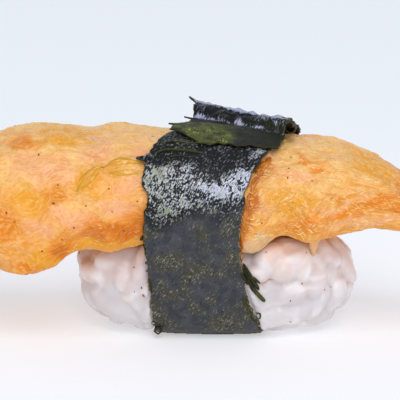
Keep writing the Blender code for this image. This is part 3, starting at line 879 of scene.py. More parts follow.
# ---- Nori band ----
# One strip of roasted seaweed, a thin, brittle sheet that softens on the warm rice. It starts on top, runs
# down the front, under the rice and up the back, and its free end lies over the start in a loose, torn pleat.

NORI_THICKNESS = 0.24 * MM
NORI_MIDDLE = 0.575 * MM
LAP_RISE = 0.8 * MM
WRAP_AXIS_Z = 15.0 * MM
WRAP_REACH = 2.5
# Angles go round the wrap's axis: 0 at the front, 90 on top. They fall along the strip.
NORI_START = 78
NORI_END = -299
# The strip's left and right edge, as (degrees, x).
NORI_LEFT_LINE = (
    (NORI_END, -7.4), (-280, -6.2), (-268, -4.2), (-255, -3.4), (-225, -2.4), (-180, -3.2), (-90, -8.6),
    (-50, -9.9), (-20, -10.7), (5, -11.2), (16, -11.3), (23, -11.2), (29, -10.7), (38, -11.6), (46, -11.2),
    (60, -9.8), (NORI_START, -7.0),
)
NORI_RIGHT_LINE = (
    (NORI_END, 9.8), (-280, 11.2), (-260, 13.0), (-225, 13.8), (-180, 13.0), (-90, 7.8), (-50, 6.6),
    (-35, 5.2), (-15, 4.1), (5, 3.7), (20, 3.8), (38, 5.1), (50, 6.8), (60, 8.3), (NORI_START, 10.0),
)
# Noise that frays the edges, as (degrees from bump to bump, shift, reach).
EDGE_FRAYS = ((9, 0, 0.30), (2.4, 5, 0.24), (1.1, 9, 0.15))
# Torn points along the left edge, as (degrees, reach, half angle, lift).
LEFT_TEARS = (
    (50, 2.2, 2.4, 0.3), (-281, 1.2, 3, 0.0), (-263, 1.4, 2.5, 0.3), (-249, 1.6, 2.0, 0.9),
    (6, 0.5, 2.0, 0.1), (-8, 0.5, 1.5, 0.1), (-14, 0.4, 1.2, 0.1),
)
TEAR_SHARPNESS = 1.3
LIFTED_SHARE = 0.12
# The second turn lies on the first from here. These angles count the other way round.
SECOND_TURN = (215, 262)
# The free end is shorter at the left, torn, and sinks a little at its end.
FREE_END_STARTS = -272
FREE_END_LEFT_REACH = 0.45
FREE_END_SLANT = 0.35
FREE_END_TEARS = ((5, 2.2, 0.9), (17, 7.1, 0.5))
FREE_END_TORN = 0.13
FREE_END_SINK = 0.35
FREE_END_SINKS = (276, 290)
PLEAT_LEFT_ANGLE = -249
PLEAT_RIGHT_ANGLE = -275
PLEAT_HALF_ANGLE = 10
PLEAT_SLANT = 1.55
PLEAT_SHARPNESS = 1.15
PLEAT_HEIGHTS = ((0, 2.8), (0.5, 1.8), (1, 1.9))
# The crinkles' height on the flat of the second turn, and how much more on the pleat.
CRINKLED = 0.12
CRINKLED_ON_PLEAT = 0.75
# Noise that waves the sheet, as (size of a bump, height). Under the rice it is pressed flat.
SWELLS = (4.2, 0.16)
RIPPLES = (1.6, 0.07)
FINE_RIPPLES = (0.7, 0.035)
WAVED_Z = (2.5 * MM, 6.0 * MM)
NORI_COLUMNS = 58
NORI_STEP = 0.95
MM_PER_DEGREE = 0.28
TYPICAL_WIDTH = 16
# The edges of the areas of wear with painted highlight flecks, and of the wet areas with painted reflection,
# wind by this many degrees, and slant by this many across the strip.
AREAS_WIND = 9
AREAS_SLANT = 5
# These areas in degrees, as (starts, full, fades, gone). The back highlight area, the wet area and where it
# is thin count the other way.
# Areas where the skin is split into pale flecks, which are painted highlights too.
WORN_HIGHLIGHT_FRONT_FROM = (7, 30)
WORN_HIGHLIGHT_FRONT_TO = (44, 60)
WORN_HIGHLIGHT_FRONT_SLANT = 13
WORN_HIGHLIGHT_CORNER = (48, 54, 60, 66)
WORN_HIGHLIGHT_CORNER_ACROSS = (0.8, 0.92)
WORN_HIGHLIGHT_CORNER_SHARE = 0.8
WORN_HIGHLIGHT_TOP = (36, 50)
WORN_HIGHLIGHT_TOP_SHARE = 0.42
WORN_HIGHLIGHT_BACK = (196, 206, 214, 228)
# The wet area, where the sheet is painted slate grey as a painted reflection of the white table.
DAMP_AND_SHEEN = (-22, -8, 160, 185)
# Where the free end is one thin layer, painted olive as light let through the sheet.
THIN_FROM = (268, 276)
THIN_ACROSS = (0.3, 0.62)
THIN_LEAST = 0.1
RIM_WIDTH = (0.02, 0.30)
# The pleat gets a painted shine in two lines, as (how far off its top, width, strength), and more on its
# crinkles.
SHINE_LINES = ((0, 0.24, 1.0), (-0.9, 0.14, 0.7))
SHINE_LEAST = 0.20
SHINE_SHARE = 0.50
# Rice and fish are squeezed between these places along the slice, up to this far beside the band.
PRESSED_X = (-14.5 * MM, 16.5 * MM)
PRESSED_BESIDE = 0.7 * MM
PRESSED_UNDER = 0.08 * MM
# On top, between these angles, the start and the free end both press.
BOTH_TURNS = (55, -262)


def wrap_form():
    """The taut shape that the strip lies on: the convex hull of the middle of the rice core and salmon."""
    low = min(p[1] for p in NORI_LEFT_LINE) - WRAP_REACH
    high = max(p[1] for p in NORI_RIGHT_LINE) + WRAP_REACH
    shape = bmesh.new()
    for point in rice_core()[0] + [v.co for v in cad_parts["salmon"].data.vertices]:
        if low < point.x / MM < high:
            shape.verts.new(point)
    bmesh.ops.convex_hull(shape, input=shape.verts)
    tree = BVHTree.FromBMesh(shape)
    shape.free()
    return tree


def nori_edges(degrees):
    """The strip's left and right edge along X at this angle, torn and ragged."""
    ragged = [
        sum(reach * noise.noise(Vector((degrees / size, side, shift))) for size, shift, reach in EDGE_FRAYS)
        for side in (3.5, 8.5)
    ]
    tear = sum(
        reach * max(0, 1 - abs(degrees - at) / wide) ** TEAR_SHARPNESS for at, reach, wide, _ in LEFT_TEARS
    )
    left = smooth(NORI_LEFT_LINE, degrees) + ragged[0] - tear
    return left * MM, (smooth(NORI_RIGHT_LINE, degrees) + ragged[1]) * MM


def outward_at(degrees):
    """Direction away from the wrap's axis at this angle."""
    angle = math.radians(degrees)
    return Vector((0, -math.cos(angle), math.sin(angle)))


def on_form(form, x, degrees):
    """Where the taut form lies at x and this angle round the wrap's axis."""
    outward = outward_at(degrees)
    return form.ray_cast(Vector((x, 0, WRAP_AXIS_Z)) + outward * 0.1, -outward)[0]


def pleat_off(degrees, across):
    """How far off the loose pleat's top this is: 0 on top, -1 at its front foot and 1 at its back foot."""
    middle = PLEAT_LEFT_ANGLE + (PLEAT_RIGHT_ANGLE - PLEAT_LEFT_ANGLE) * across
    return (degrees - middle) / PLEAT_HALF_ANGLE


def crinkle_at(x, degrees):
    """Wrinkles and small dents that run along the loose pleat, from about -0.6 to 0.6."""
    across = degrees + PLEAT_SLANT * x
    long = noise.noise(Vector((x / 5.5, across / 4.2, 7)))
    dents = noise.noise(Vector((x / 1.5, across / 3.8, 3)))
    dents += 0.5 * noise.noise(Vector((x / 0.8, across / 2.6, 5)))
    return 0.5 * long + 0.6 * dents


def nori_point(form, degrees, across):
    """Point on the middle of the strip's thickness."""
    left, right = nori_edges(degrees)
    x = left + (right - left) * across
    lift = sum(up * max(0, 1 - abs(degrees - at) / wide) for at, _, wide, up in LEFT_TEARS)
    if degrees < FREE_END_STARTS:
        reach = FREE_END_LEFT_REACH + (1 - FREE_END_LEFT_REACH) * ease(across, 0, FREE_END_SLANT)
        torn = sum(deep * noise.noise(Vector((across * count, at, 0))) for count, at, deep in FREE_END_TEARS)
        degrees = FREE_END_STARTS + (degrees - FREE_END_STARTS) * (reach + FREE_END_TORN * torn)
    hit = on_form(form, x, degrees)
    turned = ease(-degrees, *SECOND_TURN)
    off = NORI_MIDDLE / MM + turned * LAP_RISE / MM - FREE_END_SINK * ease(-degrees, *FREE_END_SINKS)
    place = hit / MM
    wave = SWELLS[1] * (0.5 + 0.5 * noise.noise(place / SWELLS[0]))
    wave += RIPPLES[1] * noise.noise(place / RIPPLES[0] + Vector((3, 1, 2)))
    wave += FINE_RIPPLES[1] * noise.noise(place / FINE_RIPPLES[0])
    pleat = math.cos(math.pi / 2 * min(abs(pleat_off(degrees, across)), 1))
    wave += turned * (CRINKLED + CRINKLED_ON_PLEAT * pleat) * crinkle_at(place.x, degrees)
    off += ease(hit.z, *WAVED_Z) * wave
    off += smooth(PLEAT_HEIGHTS, across) * pleat**PLEAT_SHARPNESS
    off += lift * max(0, 1 - across / LIFTED_SHARE)
    point = hit + outward_at(degrees) * off * MM
    if hit.z < CORE_BOTTOM_Z + 0.02 * MM:
        point.z = NORI_THICKNESS / 2
    return point


def build_nori(form):
    """The strip: rows of points along its length, what its material reads, then its own small thickness."""
    rows = np.linspace(NORI_START, NORI_END, round((NORI_START - NORI_END) / NORI_STEP) + 1)
    shares = np.arange(NORI_COLUMNS + 1) / NORI_COLUMNS
    row, across = (grid.ravel() for grid in np.meshgrid(rows, shares, indexing="ij"))
    points = [nori_point(form, r, a) for r, a in zip(row, across)]
    faces = []
    for r in range(len(rows) - 1):
        for c in range(NORI_COLUMNS):
            a = r * (NORI_COLUMNS + 1) + c
            b = a + NORI_COLUMNS + 1
            faces.append((a, a + 1, b + 1, b))
    made = assembled("nori_strip", [(points, faces)])
    x = np.array([point.x for point in points]) / MM
    wavy = np.array([noise.noise(Vector((a * 3.5, r / 14, 4.4))) for r, a in zip(row, across)])
    bend = row + AREAS_WIND * wavy - AREAS_SLANT * across
    # The skin has split where the strip bends: at the front under the top, and at the back. Its pale flecks
    # there are painted highlights too.
    front = 1 - ease(row + AREAS_WIND * wavy + WORN_HIGHLIGHT_FRONT_SLANT * across, *WORN_HIGHLIGHT_FRONT_TO)
    front *= ease(bend, *WORN_HIGHLIGHT_FRONT_FROM) * (0.90 + 0.30 * ease(across, 0.4, 0.8))
    corner = WORN_HIGHLIGHT_CORNER_SHARE * ease(across, *WORN_HIGHLIGHT_CORNER_ACROSS) * between(row, *WORN_HIGHLIGHT_CORNER)
    top = WORN_HIGHLIGHT_TOP_SHARE * ease(row, *WORN_HIGHLIGHT_TOP)
    from_side = np.minimum(across, 1 - across) * TYPICAL_WIDTH
    from_end = np.minimum(row - NORI_END, NORI_START - row) * MM_PER_DEGREE
    off = pleat_off(row, across)
    shine = sum(strong * np.exp(-(((off - at) / wide) ** 2)) for at, wide, strong in SHINE_LINES)
    crinkle = np.array([crinkle_at(*place) for place in zip(x, row)])
    for name, values in (
        ("thin", ease(-row, *THIN_FROM) * (1 - (1 - THIN_LEAST) * ease(across + 0.3 * wavy, *THIN_ACROSS))),
        ("rim", 1 - ease(np.minimum(from_side, from_end), *RIM_WIDTH)),
        ("worn_and_highlight", np.maximum.reduce([front, between(-bend, *WORN_HIGHLIGHT_BACK), corner, top])),
        ("damp_and_sheen", between(-bend, *DAMP_AND_SHEEN)), ("loose", 1 - ease(abs(off), 1.0, 1.3)),
        ("ridge_shine", SHINE_LEAST + SHINE_SHARE * crinkle + SHINE_SHARE * shine),
        ("sheet", np.stack([x, row * MM_PER_DEGREE, np.zeros(len(x))], 1)),
    ):
        keep(made.data, name, values)
    skin = made.modifiers.new("thickness", "SOLIDIFY")
    skin.thickness = NORI_THICKNESS
    skin.offset = 0
    bake_modifiers(made)
    write_points(made.data, read_vertices(made.data))
    return made


def press_in(obj, form):
    """Squeezes a piece into the taut form where the band lies on it."""
    end_left, end_right = nori_edges(NORI_END)
    for vertex in obj.data.vertices:
        x, y, z = vertex.co
        if not PRESSED_X[0] < x < PRESSED_X[1]:
            continue
        degrees = math.degrees(math.atan2(z - WRAP_AXIS_Z, -y))
        if degrees > 90:
            degrees -= 360
        left, right = nori_edges(degrees)
        if degrees > BOTH_TURNS[0] or degrees < BOTH_TURNS[1]:
            left, right = min(left, end_left), max(right, end_right)
        share = ease(min(x - left, right - x), -PRESSED_BESIDE, 0.0)
        if share > 0:
            axis = Vector((x, 0, WRAP_AXIS_Z))
            over = (vertex.co - axis).length - (on_form(form, x, degrees) - axis).length + PRESSED_UNDER
            if over > 0:
                vertex.co -= (vertex.co - axis).normalized() * over * share
    obj.data.update()


def roasted_nori(tree, place):
    """Roasted nori: matted seaweed fibres, almost black with green and brown in it, with a broken gloss.
    Fibres and pits are 0.1 to 0.4 mm across; the pits are painted darker, as painted shade. Where the sheet
    is bent hard, its skin has split into pale, glossy flecks about 1 mm by 0.3 mm, which are painted
    highlights as well. It is painted slate grey on wet rice, as a painted reflection of the white table, and
    olive where it is one thin layer, as painted light let through it. The loose pleat's folds carry a painted
    shine."""
    thin, rim, worn_and_highlight, damp_and_sheen, loose, ridge_shine = (
        add_node(tree, "Attribute", attribute_name=name).outputs["Fac"]
        for name in ("thin", "rim", "worn_and_highlight", "damp_and_sheen", "loose", "ridge_shine")
    )
    sheet = add_node(tree, "Attribute", attribute_name="sheet").outputs["Vector"]
    left_to_right = add_node(tree, "SeparateXYZ", {"Vector": sheet}).outputs["X"]
    slanted = add_node(
        tree, "Mapping", {"Vector": sheet, "Rotation": (0, 0, math.radians(56)), "Scale": (0.60, 0.20, 1)},
        vector_type="TEXTURE",
    )
    clouds = add_node(tree, "TexNoise", {"Vector": place, "Scale": 1 / (3.2 * MM), "Detail": 4})
    tones = add_node(tree, "TexNoise", {"Vector": place, "Scale": 1 / (1.6 * MM), "Detail": 2})
    fibres = add_node(tree, "TexNoise", {
        "Vector": slanted, "Scale": 1.0, "Detail": 3, "Roughness": 0.6, "Distortion": 0.7,
    })
    grit = add_node(tree, "TexNoise", {"Vector": place, "Scale": 1 / (0.36 * MM), "Detail": 2})
    mixed = add_node(tree, "Math", {0: grit, 1: 0.5, 2: fibres}, operation="MULTIPLY_ADD")
    mixed = add_node(tree, "Math", {0: mixed, 1: 0.1}, operation="ADD")
    # The more wear the sheet has, the more of it has turned into pale flecks, painted highlights that lie in
    # clumps.
    clumps = add_node(tree, "MapRange", {
        "Value": tones, "From Min": 0.3, "From Max": 0.7, "To Min": 0.05, "To Max": 0.34,
    })
    cracked_highlight = add_node(tree, "Math", {0: worn_and_highlight, 1: clumps, 2: mixed}, operation="MULTIPLY_ADD")
    # Pale specks, which are painted glints as well as pale dots, lie in loose groups too.
    grouped = add_node(tree, "Math", {0: clouds, 1: 0.4, 2: fibres}, operation="MULTIPLY_ADD")
    greened = add_node(tree, "Math", {0: grit, 1: 1.6, 2: tones}, operation="MULTIPLY_ADD")
    # The painted shine along the loose pleat's folds is broken up by the fibres.
    folded = add_node(tree, "Math", {0: fibres, 1: 1.1, 2: ridge_shine}, operation="MULTIPLY_ADD")
    # The tone of the painted highlight flecks: lavender towards the right, pale grey, and yellow-green in
    # places.
    highlight_fleck_tone = painted(tree, "#85867c", (
        ("#a8adc8", left_to_right, (-8.0, -1.0, 1.0)), ("#cccfd6", grit, (0.38, 0.62, 1.0)),
        ("#7a8338", greened, (1.46, 1.56, 0.7)),
    ))
    rim_tone = painted(tree, "#2e2812", (("#9c8550", grit, (0.48, 0.60, 1.0), damp_and_sheen),))
    colour = painted(tree, "#08090a", (
        # Slate grey and mottled where the sheet is wet: a painted reflection of the white table.
        ("#34363c", damp_and_sheen, None), ("#4b4d52", tones, (0.34, 0.66, 0.7), damp_and_sheen),
        # Olive-brown patches where wet, then olive where the sheet is one thin layer, painted light let
        # through it.
        ("#433f2b", clouds, (0.40, 0.64, 0.8), damp_and_sheen), ("#50561a", thin, None),
        # Dark patches on the thin layer, then the bump's pits painted darker, as painted shade.
        ("#1f2410", tones, (0.54, 0.40, 0.85), thin), ("#0e0e0c", mixed, (0.78, 0.66, 0.6)),
        ("#8a8c88", grouped, (0.80, 0.88, 0.8), damp_and_sheen), ("#a5ad45", grouped, (0.80, 0.88, 0.8), thin),
        ("#a6a9c2", folded, (0.92, 1.20, 1.0), loose), (highlight_fleck_tone, cracked_highlight, (0.98, 1.12, 1.0), worn_and_highlight),
        (rim_tone, rim, None),
    ))
    relief = add_node(tree, "Bump", {"Strength": 0.7, "Distance": 0.08 * MM, "Height": mixed})
    # Glossy flecks lie among duller pits, and the loose pleat is smooth and glossy all over.
    gloss = add_node(tree, "MapRange", {
        "Value": cracked_highlight, "From Min": 0.92, "From Max": 1.06, "To Min": 0.55, "To Max": 0.18,
    }, interpolation_type="SMOOTHSTEP")
    finish = add_node(tree, "Mix", {"Factor": loose, "A": gloss, "B": 0.26})
    return {
        "Base Color": colour, "Normal": relief, "Roughness": finish, "IOR": 1.45,
        "Specular IOR Level": 0.28,
    }


taut_form = wrap_form()
press_in(rice, taut_form)
press_in(salmon, taut_form)
nori = build_nori(taut_form)
dress(nori, roasted_nori)
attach(nori, "root")
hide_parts("nori_band")


# ---- Nori shreds ----
# Shreds that tore off the strip's edges when it was cut and wrapped: narrow, limp ribbons of the same sheet,
# some dark and some olive where they are one thin layer, which is painted light let through them. They cling
# to the moist rice and fish beside it.

# Each laid shred as (half width, lift, 0 dark to 1 olive, then its (x, z) marks), at the front of the ball.
SHREDS = (
    (0.38, 0.20, 0.10, (3.7, 12.4), (4.7, 10.7), (5.5, 9.1), (6.0, 7.9)),
    (0.32, 0.46, 0.30, (4.1, 12.6), (5.3, 10.7), (6.2, 9.2), (6.7, 8.3)),
    (0.26, 0.30, 0.15, (3.9, 11.4), (4.5, 10.0), (5.0, 9.2)),
    (0.36, 0.40, 0.90, (5.6, 8.8), (6.3, 7.9), (7.0, 7.1), (7.7, 6.3)),
    (0.20, 0.56, 0.60, (5.3, 10.7), (6.1, 10.2), (6.9, 9.4)),
    (0.28, 0.12, 0.45, (4.1, 7.4), (4.6, 6.2), (5.1, 5.0), (5.3, 4.0)),
    (0.18, 0.12, 0.30, (5.0, 4.6), (5.9, 3.2), (6.9, 2.2)),
    (0.30, 0.14, 0.90, (-11.5, 17.4), (-11.7, 16.2), (-11.1, 14.8), (-10.9, 13.8)),
    (0.18, 0.12, 0.30, (-10.5, 10.2), (-10.3, 9.0), (-10.1, 7.8)),
    (0.14, 0.10, 0.90, (6.2, 4.4), (6.9, 4.2), (6.8, 3.5), (6.3, 3.7)),
    (0.22, 0.16, 0.55, (-9.9, 29.6), (-8.2, 30.3), (-5.8, 30.2), (-3.4, 30.0), (-1.6, 29.6)),
    (0.16, 0.14, 0.90, (-8.8, 31.0), (-6.6, 31.3), (-4.2, 31.0), (-2.4, 31.1)),
    (0.12, 0.14, 1.00, (-7.4, 29.4), (-5.4, 29.5), (-4.0, 29.2)),
)
SHRED_RINGS = 16
SHRED_SIDES = 8
SHRED_RISE = 0.14
EVENED_OVER = 7
# Each scroll as (x, y, z, radius, turns, half width, how far its skin has split into pale flecks, which are
# painted highlights).
SCROLLS = (
    (-10.5, -12.9, 29.4, 0.85, 0.8, 0.45, 1.0), (-9.2, -10.3, 1.2, 0.72, 2.4, 0.60, 0.0),
    (-9.9, -10.2, 2.3, 0.36, 1.0, 0.20, 0.0), (11.7, -2.9, 32.4, 1.15, 1.2, 0.80, 0.0),
)
SCROLL_MARKS = 13
SCROLL_THICKNESS = 0.12
SCROLL_STARTS = math.radians(200)
SCROLL_LEANS = -0.25
SCROLL_TIGHTENS = 0.35
SCROLL_OLIVE = 0.25
SHRED_RIM = 0.4


def draped(carriers, marks, lift):
    """(point, outward) spots along a line over what lies nearest to the front, evened out over its bumps."""
    line = run_through([(x, 0, z) for x, z in marks], SHRED_RINGS)
    depths = []
    for point in line:
        hits = [carrier.ray_cast(point + FRONT * 0.1, -FRONT)[0] for carrier in carriers]
        depths.append(min(hit.y for hit in hits if hit))
    padded = np.pad(depths, EVENED_OVER // 2, "edge")
    depths = np.convolve(padded, np.ones(EVENED_OVER) / EVENED_OVER, "valid")
    return [(Vector((point.x, depth - lift * MM, point.z)), FRONT) for point, depth in zip(line, depths)]


def build_shreds():
    """Ribbons laid on what carries them, and little scrolls at corners of the strip."""
    carriers = [surface_of(piece) for piece in (rice, salmon, nori)]
    parts, tones, worn_and_highlight = [], [], []
    for half_width, lift, olive, *marks in SHREDS:
        spots = draped(carriers, marks, lift)
        parts.append(strand(spots, half_width, SHRED_RISE, lift, SHRED_SIDES, taper=0.22))
        tones += [olive] * len(parts[-1][0])
        worn_and_highlight += [0] * len(parts[-1][0])
    for x, y, z, radius, turns, half_width, cracked_highlight in SCROLLS:
        spots = []
        for t in np.linspace(0, 1, SCROLL_MARKS):
            angle = SCROLL_STARTS - 2 * math.pi * turns * t
            outward = Vector((math.cos(angle), SCROLL_LEANS, math.sin(angle))).normalized()
            off = outward * radius * (1 - SCROLL_TIGHTENS * t) * MM
            spots.append((Vector((x, y, z)) * MM + off, outward))
        parts.append(strand(spots, half_width, SCROLL_THICKNESS, SCROLL_THICKNESS, SHRED_SIDES))
        tones += [SCROLL_OLIVE] * len(parts[-1][0])
        worn_and_highlight += [cracked_highlight] * len(parts[-1][0])
    made = assembled("nori_shreds", parts)
    points = read_vertices(made.data)
    write_points(made.data, points)
    keep(made.data, "thin", tones)
    keep(made.data, "worn_and_highlight", worn_and_highlight)
    keep(made.data, "rim", [SHRED_RIM] * len(points))
    keep(made.data, "sheet", points / MM)
    return made


shreds = build_shreds()
shreds.data.materials.append(nori.data.materials[0])
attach(shreds, "root")


# ---- Brown glaze ----
# Sweet soy glaze and frying oil that ran down beside the nori: a thick, clear, orange-brown bead on the
# crust, and a thin line over the rice below it.

# Each bead as (half width, rise, then its (x, y, z) marks).
GLAZE_BEADS = (
    (0.70, 0.14, (8.6, -9.2, 29.6), (7.6, -10.4, 28.2), (6.2, -12.0, 25.6), (5.2, -13.6, 23.4)),
    (0.60, 0.18, (5.2, -13.8, 24.2), (4.6, -14.2, 21.8), (4.1, -14.4, 19.4), (3.9, -14.4, 16.6)),
    (0.36, 0.16, (4.0, -14.2, 18.0), (3.9, -13.9, 16.0), (3.9, -13.5, 14.4)),
    (0.24, 0.16, (4.0, -13.2, 14.6), (4.1, -12.8, 13.0), (4.2, -12.6, 11.2)),
    (0.12, 0.08, (5.8, -12.4, 10.2), (6.6, -12.4, 9.6), (7.6, -12.2, 9.2), (8.4, -12.0, 9.6),
     (9.2, -11.8, 10.0)),
    (0.34, 0.34, (4.9, -12.8, 10.6), (5.5, -12.8, 10.4), (6.2, -12.6, 10.2)),
)
GLAZE_RINGS = 18
GLAZE_SIDES = 16
GLAZE_UNDERSIDE = 0.12


def build_glaze():
    """Beads laid on whichever piece lies nearest."""
    carriers = [surface_of(piece) for piece in (rice, salmon)]
    parts = []
    for half_width, rise, *marks in GLAZE_BEADS:
        spots = []
        for point in run_through(marks, GLAZE_RINGS):
            near = [carrier.find_nearest(point) for carrier in carriers]
            spots.append(min(near, key=lambda hit: hit[3])[:2])
        parts.append(strand(spots, half_width, rise, GLAZE_UNDERSIDE, GLAZE_SIDES, lens=1.7))
    return assembled("soy_glaze", parts)


def soy_glaze(tree, place):
    """Soy and sugar glaze over frying oil: orange-brown, clear and wet, its gloss broken by fine crumbs."""
    clouds = add_node(tree, "TexNoise", {"Vector": place, "Scale": 1 / (1.0 * MM), "Detail": 3})
    # It has thinned and spread on the moist rice.
    height = add_node(tree, "SeparateXYZ", {"Vector": place}).outputs["Z"]
    thinned = add_node(tree, "MapRange", {
        "Value": height, "From Min": 15 * MM, "From Max": 11 * MM, "To Max": 0.8,
    })
    colour = painted(tree, "#b05a08", (("#d07c16", clouds, (0.38, 0.62, 1.0)), ("#bf9460", thinned, None)))
    crumbs = add_node(tree, "TexNoise", {"Vector": place, "Scale": 1 / (0.34 * MM), "Detail": 2})
    relief = add_node(tree, "Bump", {"Strength": 1.0, "Distance": 0.22 * MM, "Height": crumbs})
    return {
        "Base Color": colour, "Normal": relief, "Roughness": 0.12, "IOR": 1.5, "Subsurface Weight": 0.2,
        "Subsurface Scale": 0.8 * MM, "Subsurface Radius": (1.0, 0.4, 0.1),
    }


glaze = build_glaze()
dress(glaze, soy_glaze)
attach(glaze, "root")


# ---- Specks ----
# Ground spice and burnt crumbs from the frying oil, 0.3 to 0.6 mm across. They have stuck to the oily crust
# and the moist rice.

# Specks at the front, as (x, y, z, diameter).
FISH_SPECKS = (
    (-24.6, -13.5, 25.3, 0.5), (-25.3, -13.9, 22.5, 0.6), (-27.7, -10.2, 29.4, 0.5),
    (-16.7, -13.7, 24.7, 0.42), (-12.3, -14.4, 22.9, 0.42), (-20.3, -14.2, 22.1, 0.42),
    (-16.2, -14.6, 21.3, 0.34), (-32.7, -14.0, 21.0, 0.5), (-22.2, -14.4, 18.7, 0.5),
    (-27.2, -13.8, 14.9, 0.5), (11.7, -8.5, 28.6, 0.38), (11.3, -11.0, 27.3, 0.42),
    (11.0, -12.5, 26.2, 0.42), (14.9, -11.9, 25.6, 0.42), (7.1, -14.3, 19.4, 0.4),
    (-14.4, -14.4, 18.2, 0.45), (-24.0, -14.2, 16.8, 0.4), (-31.4, -14.0, 19.6, 0.35),
)
RICE_SPECKS = (
    (-12.8, -10.7, 11.4, 0.4), (-11.6, -11.6, 6.9, 0.62), (-11.2, -10.8, 8.3, 0.5),
    (-12.8, -10.3, 7.7, 0.28), (13.5, -10.9, 8.9, 0.42), (16.7, -9.0, 7.6, 0.38), (18.2, -7.6, 7.6, 0.34),
    (11.8, -11.8, 6.0, 0.4), (11.8, -10.2, 2.3, 0.36), (13.5, -8.7, 12.7, 0.34), (7.8, -11.0, 13.4, 0.34),
)
# Specks elsewhere lie by chance: one in four on the rice, behind this place and not on the underside.
CHANCE_SPECKS = 34
ONE_IN = 4
BEHIND_Y = -4 * MM
SPECKS_ABOVE_SLOPE = -0.3
SPECK_WIDTH_SHARE = 0.52
SPECK_BEND = 0.03 * MM


def burnt_crumb(tree, place):
    """Burnt crumb and ground pepper: dark brown, matt, a little lighter where it is thin."""
    grains = add_node(tree, "TexNoise", {"Vector": place, "Scale": 1 / (0.5 * MM), "Detail": 2})
    relief = add_node(tree, "Bump", {"Strength": 0.7, "Distance": 0.05 * MM, "Height": grains})
    return {
        "Base Color": painted(tree, "#6a3410", (("#a8662a", grains, None),)), "Normal": relief,
        "Roughness": 0.8, "Specular IOR Level": 0.1,
    }


def build_specks():
    """Little flat grains, half sunk in what they stick to."""
    draw = random.Random(5)
    marks = [(salmon, Vector(spot) * MM, size) for *spot, size in FISH_SPECKS]
    marks += [(rice, Vector(spot) * MM, size) for *spot, size in RICE_SPECKS]
    for number in range(CHANCE_SPECKS):
        carrier = rice if number % ONE_IN == 0 else salmon
        vertices = carrier.data.vertices
        spot = vertices[draw.randrange(len(vertices))]
        while spot.co.y < BEHIND_Y or spot.normal.z < SPECKS_ABOVE_SLOPE:
            spot = vertices[draw.randrange(len(vertices))]
        marks.append((carrier, spot.co.copy(), draw.uniform(0.3, 0.5)))
    surfaces = {piece: surface_of(piece) for piece in (salmon, rice)}
    parts = []
    for carrier, mark, size in marks:
        spot, normal = surfaces[carrier].find_nearest(mark)[:2]
        along = flat_on(normal, Vector([draw.gauss(0, 1) for _ in range(3)]))
        length, width = size * draw.uniform(0.7, 0.95) * MM, size * SPECK_WIDTH_SHARE * MM
        parts.append(rice_grain(spot, along, normal, length, width, SPECK_BEND))
    return assembled("burnt_crumbs", parts)


specks = build_specks()
dress(specks, burnt_crumb)
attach(specks, "root")


# ---- Table, light and camera ----
# A plain white table that glows a little, which is painted light, and runs out to a pale blue-white, one
# large softbox above the front, and soft light from all round.

FLOOR_RADIUS = 3.0
FLOOR_BELOW = 0.05 * MM
CAMERA_AIM = Vector((-2.56, 0, 20.05)) * MM
CAMERA_ELEVATION = math.radians(12)
CAMERA_DISTANCE = 0.5
CAMERA_LENS = 281.25
SOFTBOX_WIDTH = 0.28
SOFTBOX_HEIGHT = 1.70
SOFTBOX_DISTANCE = 1.2
SOFTBOX_ELEVATION = math.radians(44)
SOFTBOX_AZIMUTH = math.radians(8)
SOFTBOX_POWER = 10.6


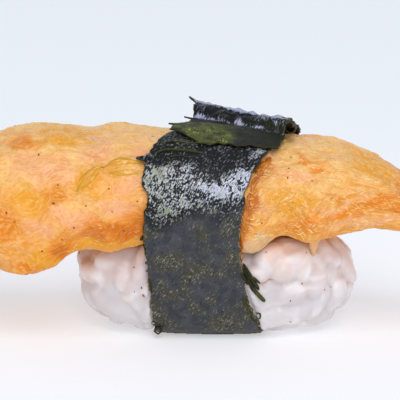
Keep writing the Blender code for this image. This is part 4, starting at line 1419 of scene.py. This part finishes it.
def white_table(tree, place):
    """Matt white table that glows, which is painted light that fills in and weakens its shadows. Its colour
    is painted brighter near the food, as a pool of light, and pale blue further off.
    """
    distance = add_node(tree, "VectorMath", {0: place}, operation="LENGTH").outputs["Value"]
    return {
        "Base Color": painted(tree, "#c9cbd0", (("#bcc0c6", distance, (0.04, 0.18, 1.0)),)),
        "Emission Color": painted(tree, "#ebe9e8", (("#ecefef", distance, (0.04, 0.18, 1.0)),)),
        "Emission Strength": 0.5, "Roughness": 0.8, "Specular IOR Level": 0.2,
    }


def direction(azimuth, elevation):
    """Direction from the middle of the scene: this far round to the right of the front, and this far up."""
    level = math.cos(elevation)
    return Vector((math.sin(azimuth) * level, -math.cos(azimuth) * level, math.sin(elevation)))


shape = bmesh.new()
bmesh.ops.create_circle(shape, cap_ends=True, segments=96, radius=FLOOR_RADIUS)
table = linked("table", bpy.data.meshes.new("table"))
shape.to_mesh(table.data)
shape.free()
table.location.z = -FLOOR_BELOW
dress(table, white_table)

world = bpy.data.worlds.new("studio")
world.use_nodes = True
room = world.node_tree
facing = add_node(room, "SeparateXYZ", {0: add_node(room, "TexCoord").outputs["Generated"]}).outputs
# A tall backdrop stands behind the table, so the light walls reach higher there.
behind = add_node(room, "MapRange", {
    "Value": facing["Y"], "From Min": -0.1, "From Max": 0.4, "To Min": 0, "To Max": -0.30,
}, interpolation_type="SMOOTHSTEP")
lowered = add_node(room, "Math", {0: behind, 1: facing["Z"]}, operation="ADD")
walls = painted(room, "#eef3fb", (("#b0b4be", lowered, (0.05, 0.35, 1.0)),))
room.links.new(walls.outputs[0], room.nodes["Background"].inputs["Color"])
bpy.context.scene.world = world

softbox = bpy.data.lights.new("softbox", "AREA")
softbox.shape = "RECTANGLE"
softbox.size = SOFTBOX_WIDTH
softbox.size_y = SOFTBOX_HEIGHT
softbox.energy = SOFTBOX_POWER
lamp = linked("softbox", softbox)
towards = direction(SOFTBOX_AZIMUTH, SOFTBOX_ELEVATION)
lamp.location = CAMERA_AIM + towards * SOFTBOX_DISTANCE
lamp.rotation_euler = towards.to_track_quat("Z", "Y").to_euler()

lens = bpy.data.cameras.new("camera")
lens.lens = CAMERA_LENS
lens.clip_start = 0.01
lens.clip_end = 20
camera = linked("camera", lens)
camera.location = CAMERA_AIM + direction(0, CAMERA_ELEVATION) * CAMERA_DISTANCE
camera.rotation_euler = (math.pi / 2 - CAMERA_ELEVATION, 0, 0)
bpy.context.scene.camera = camera
bpy.context.scene.view_settings.view_transform = "Standard"
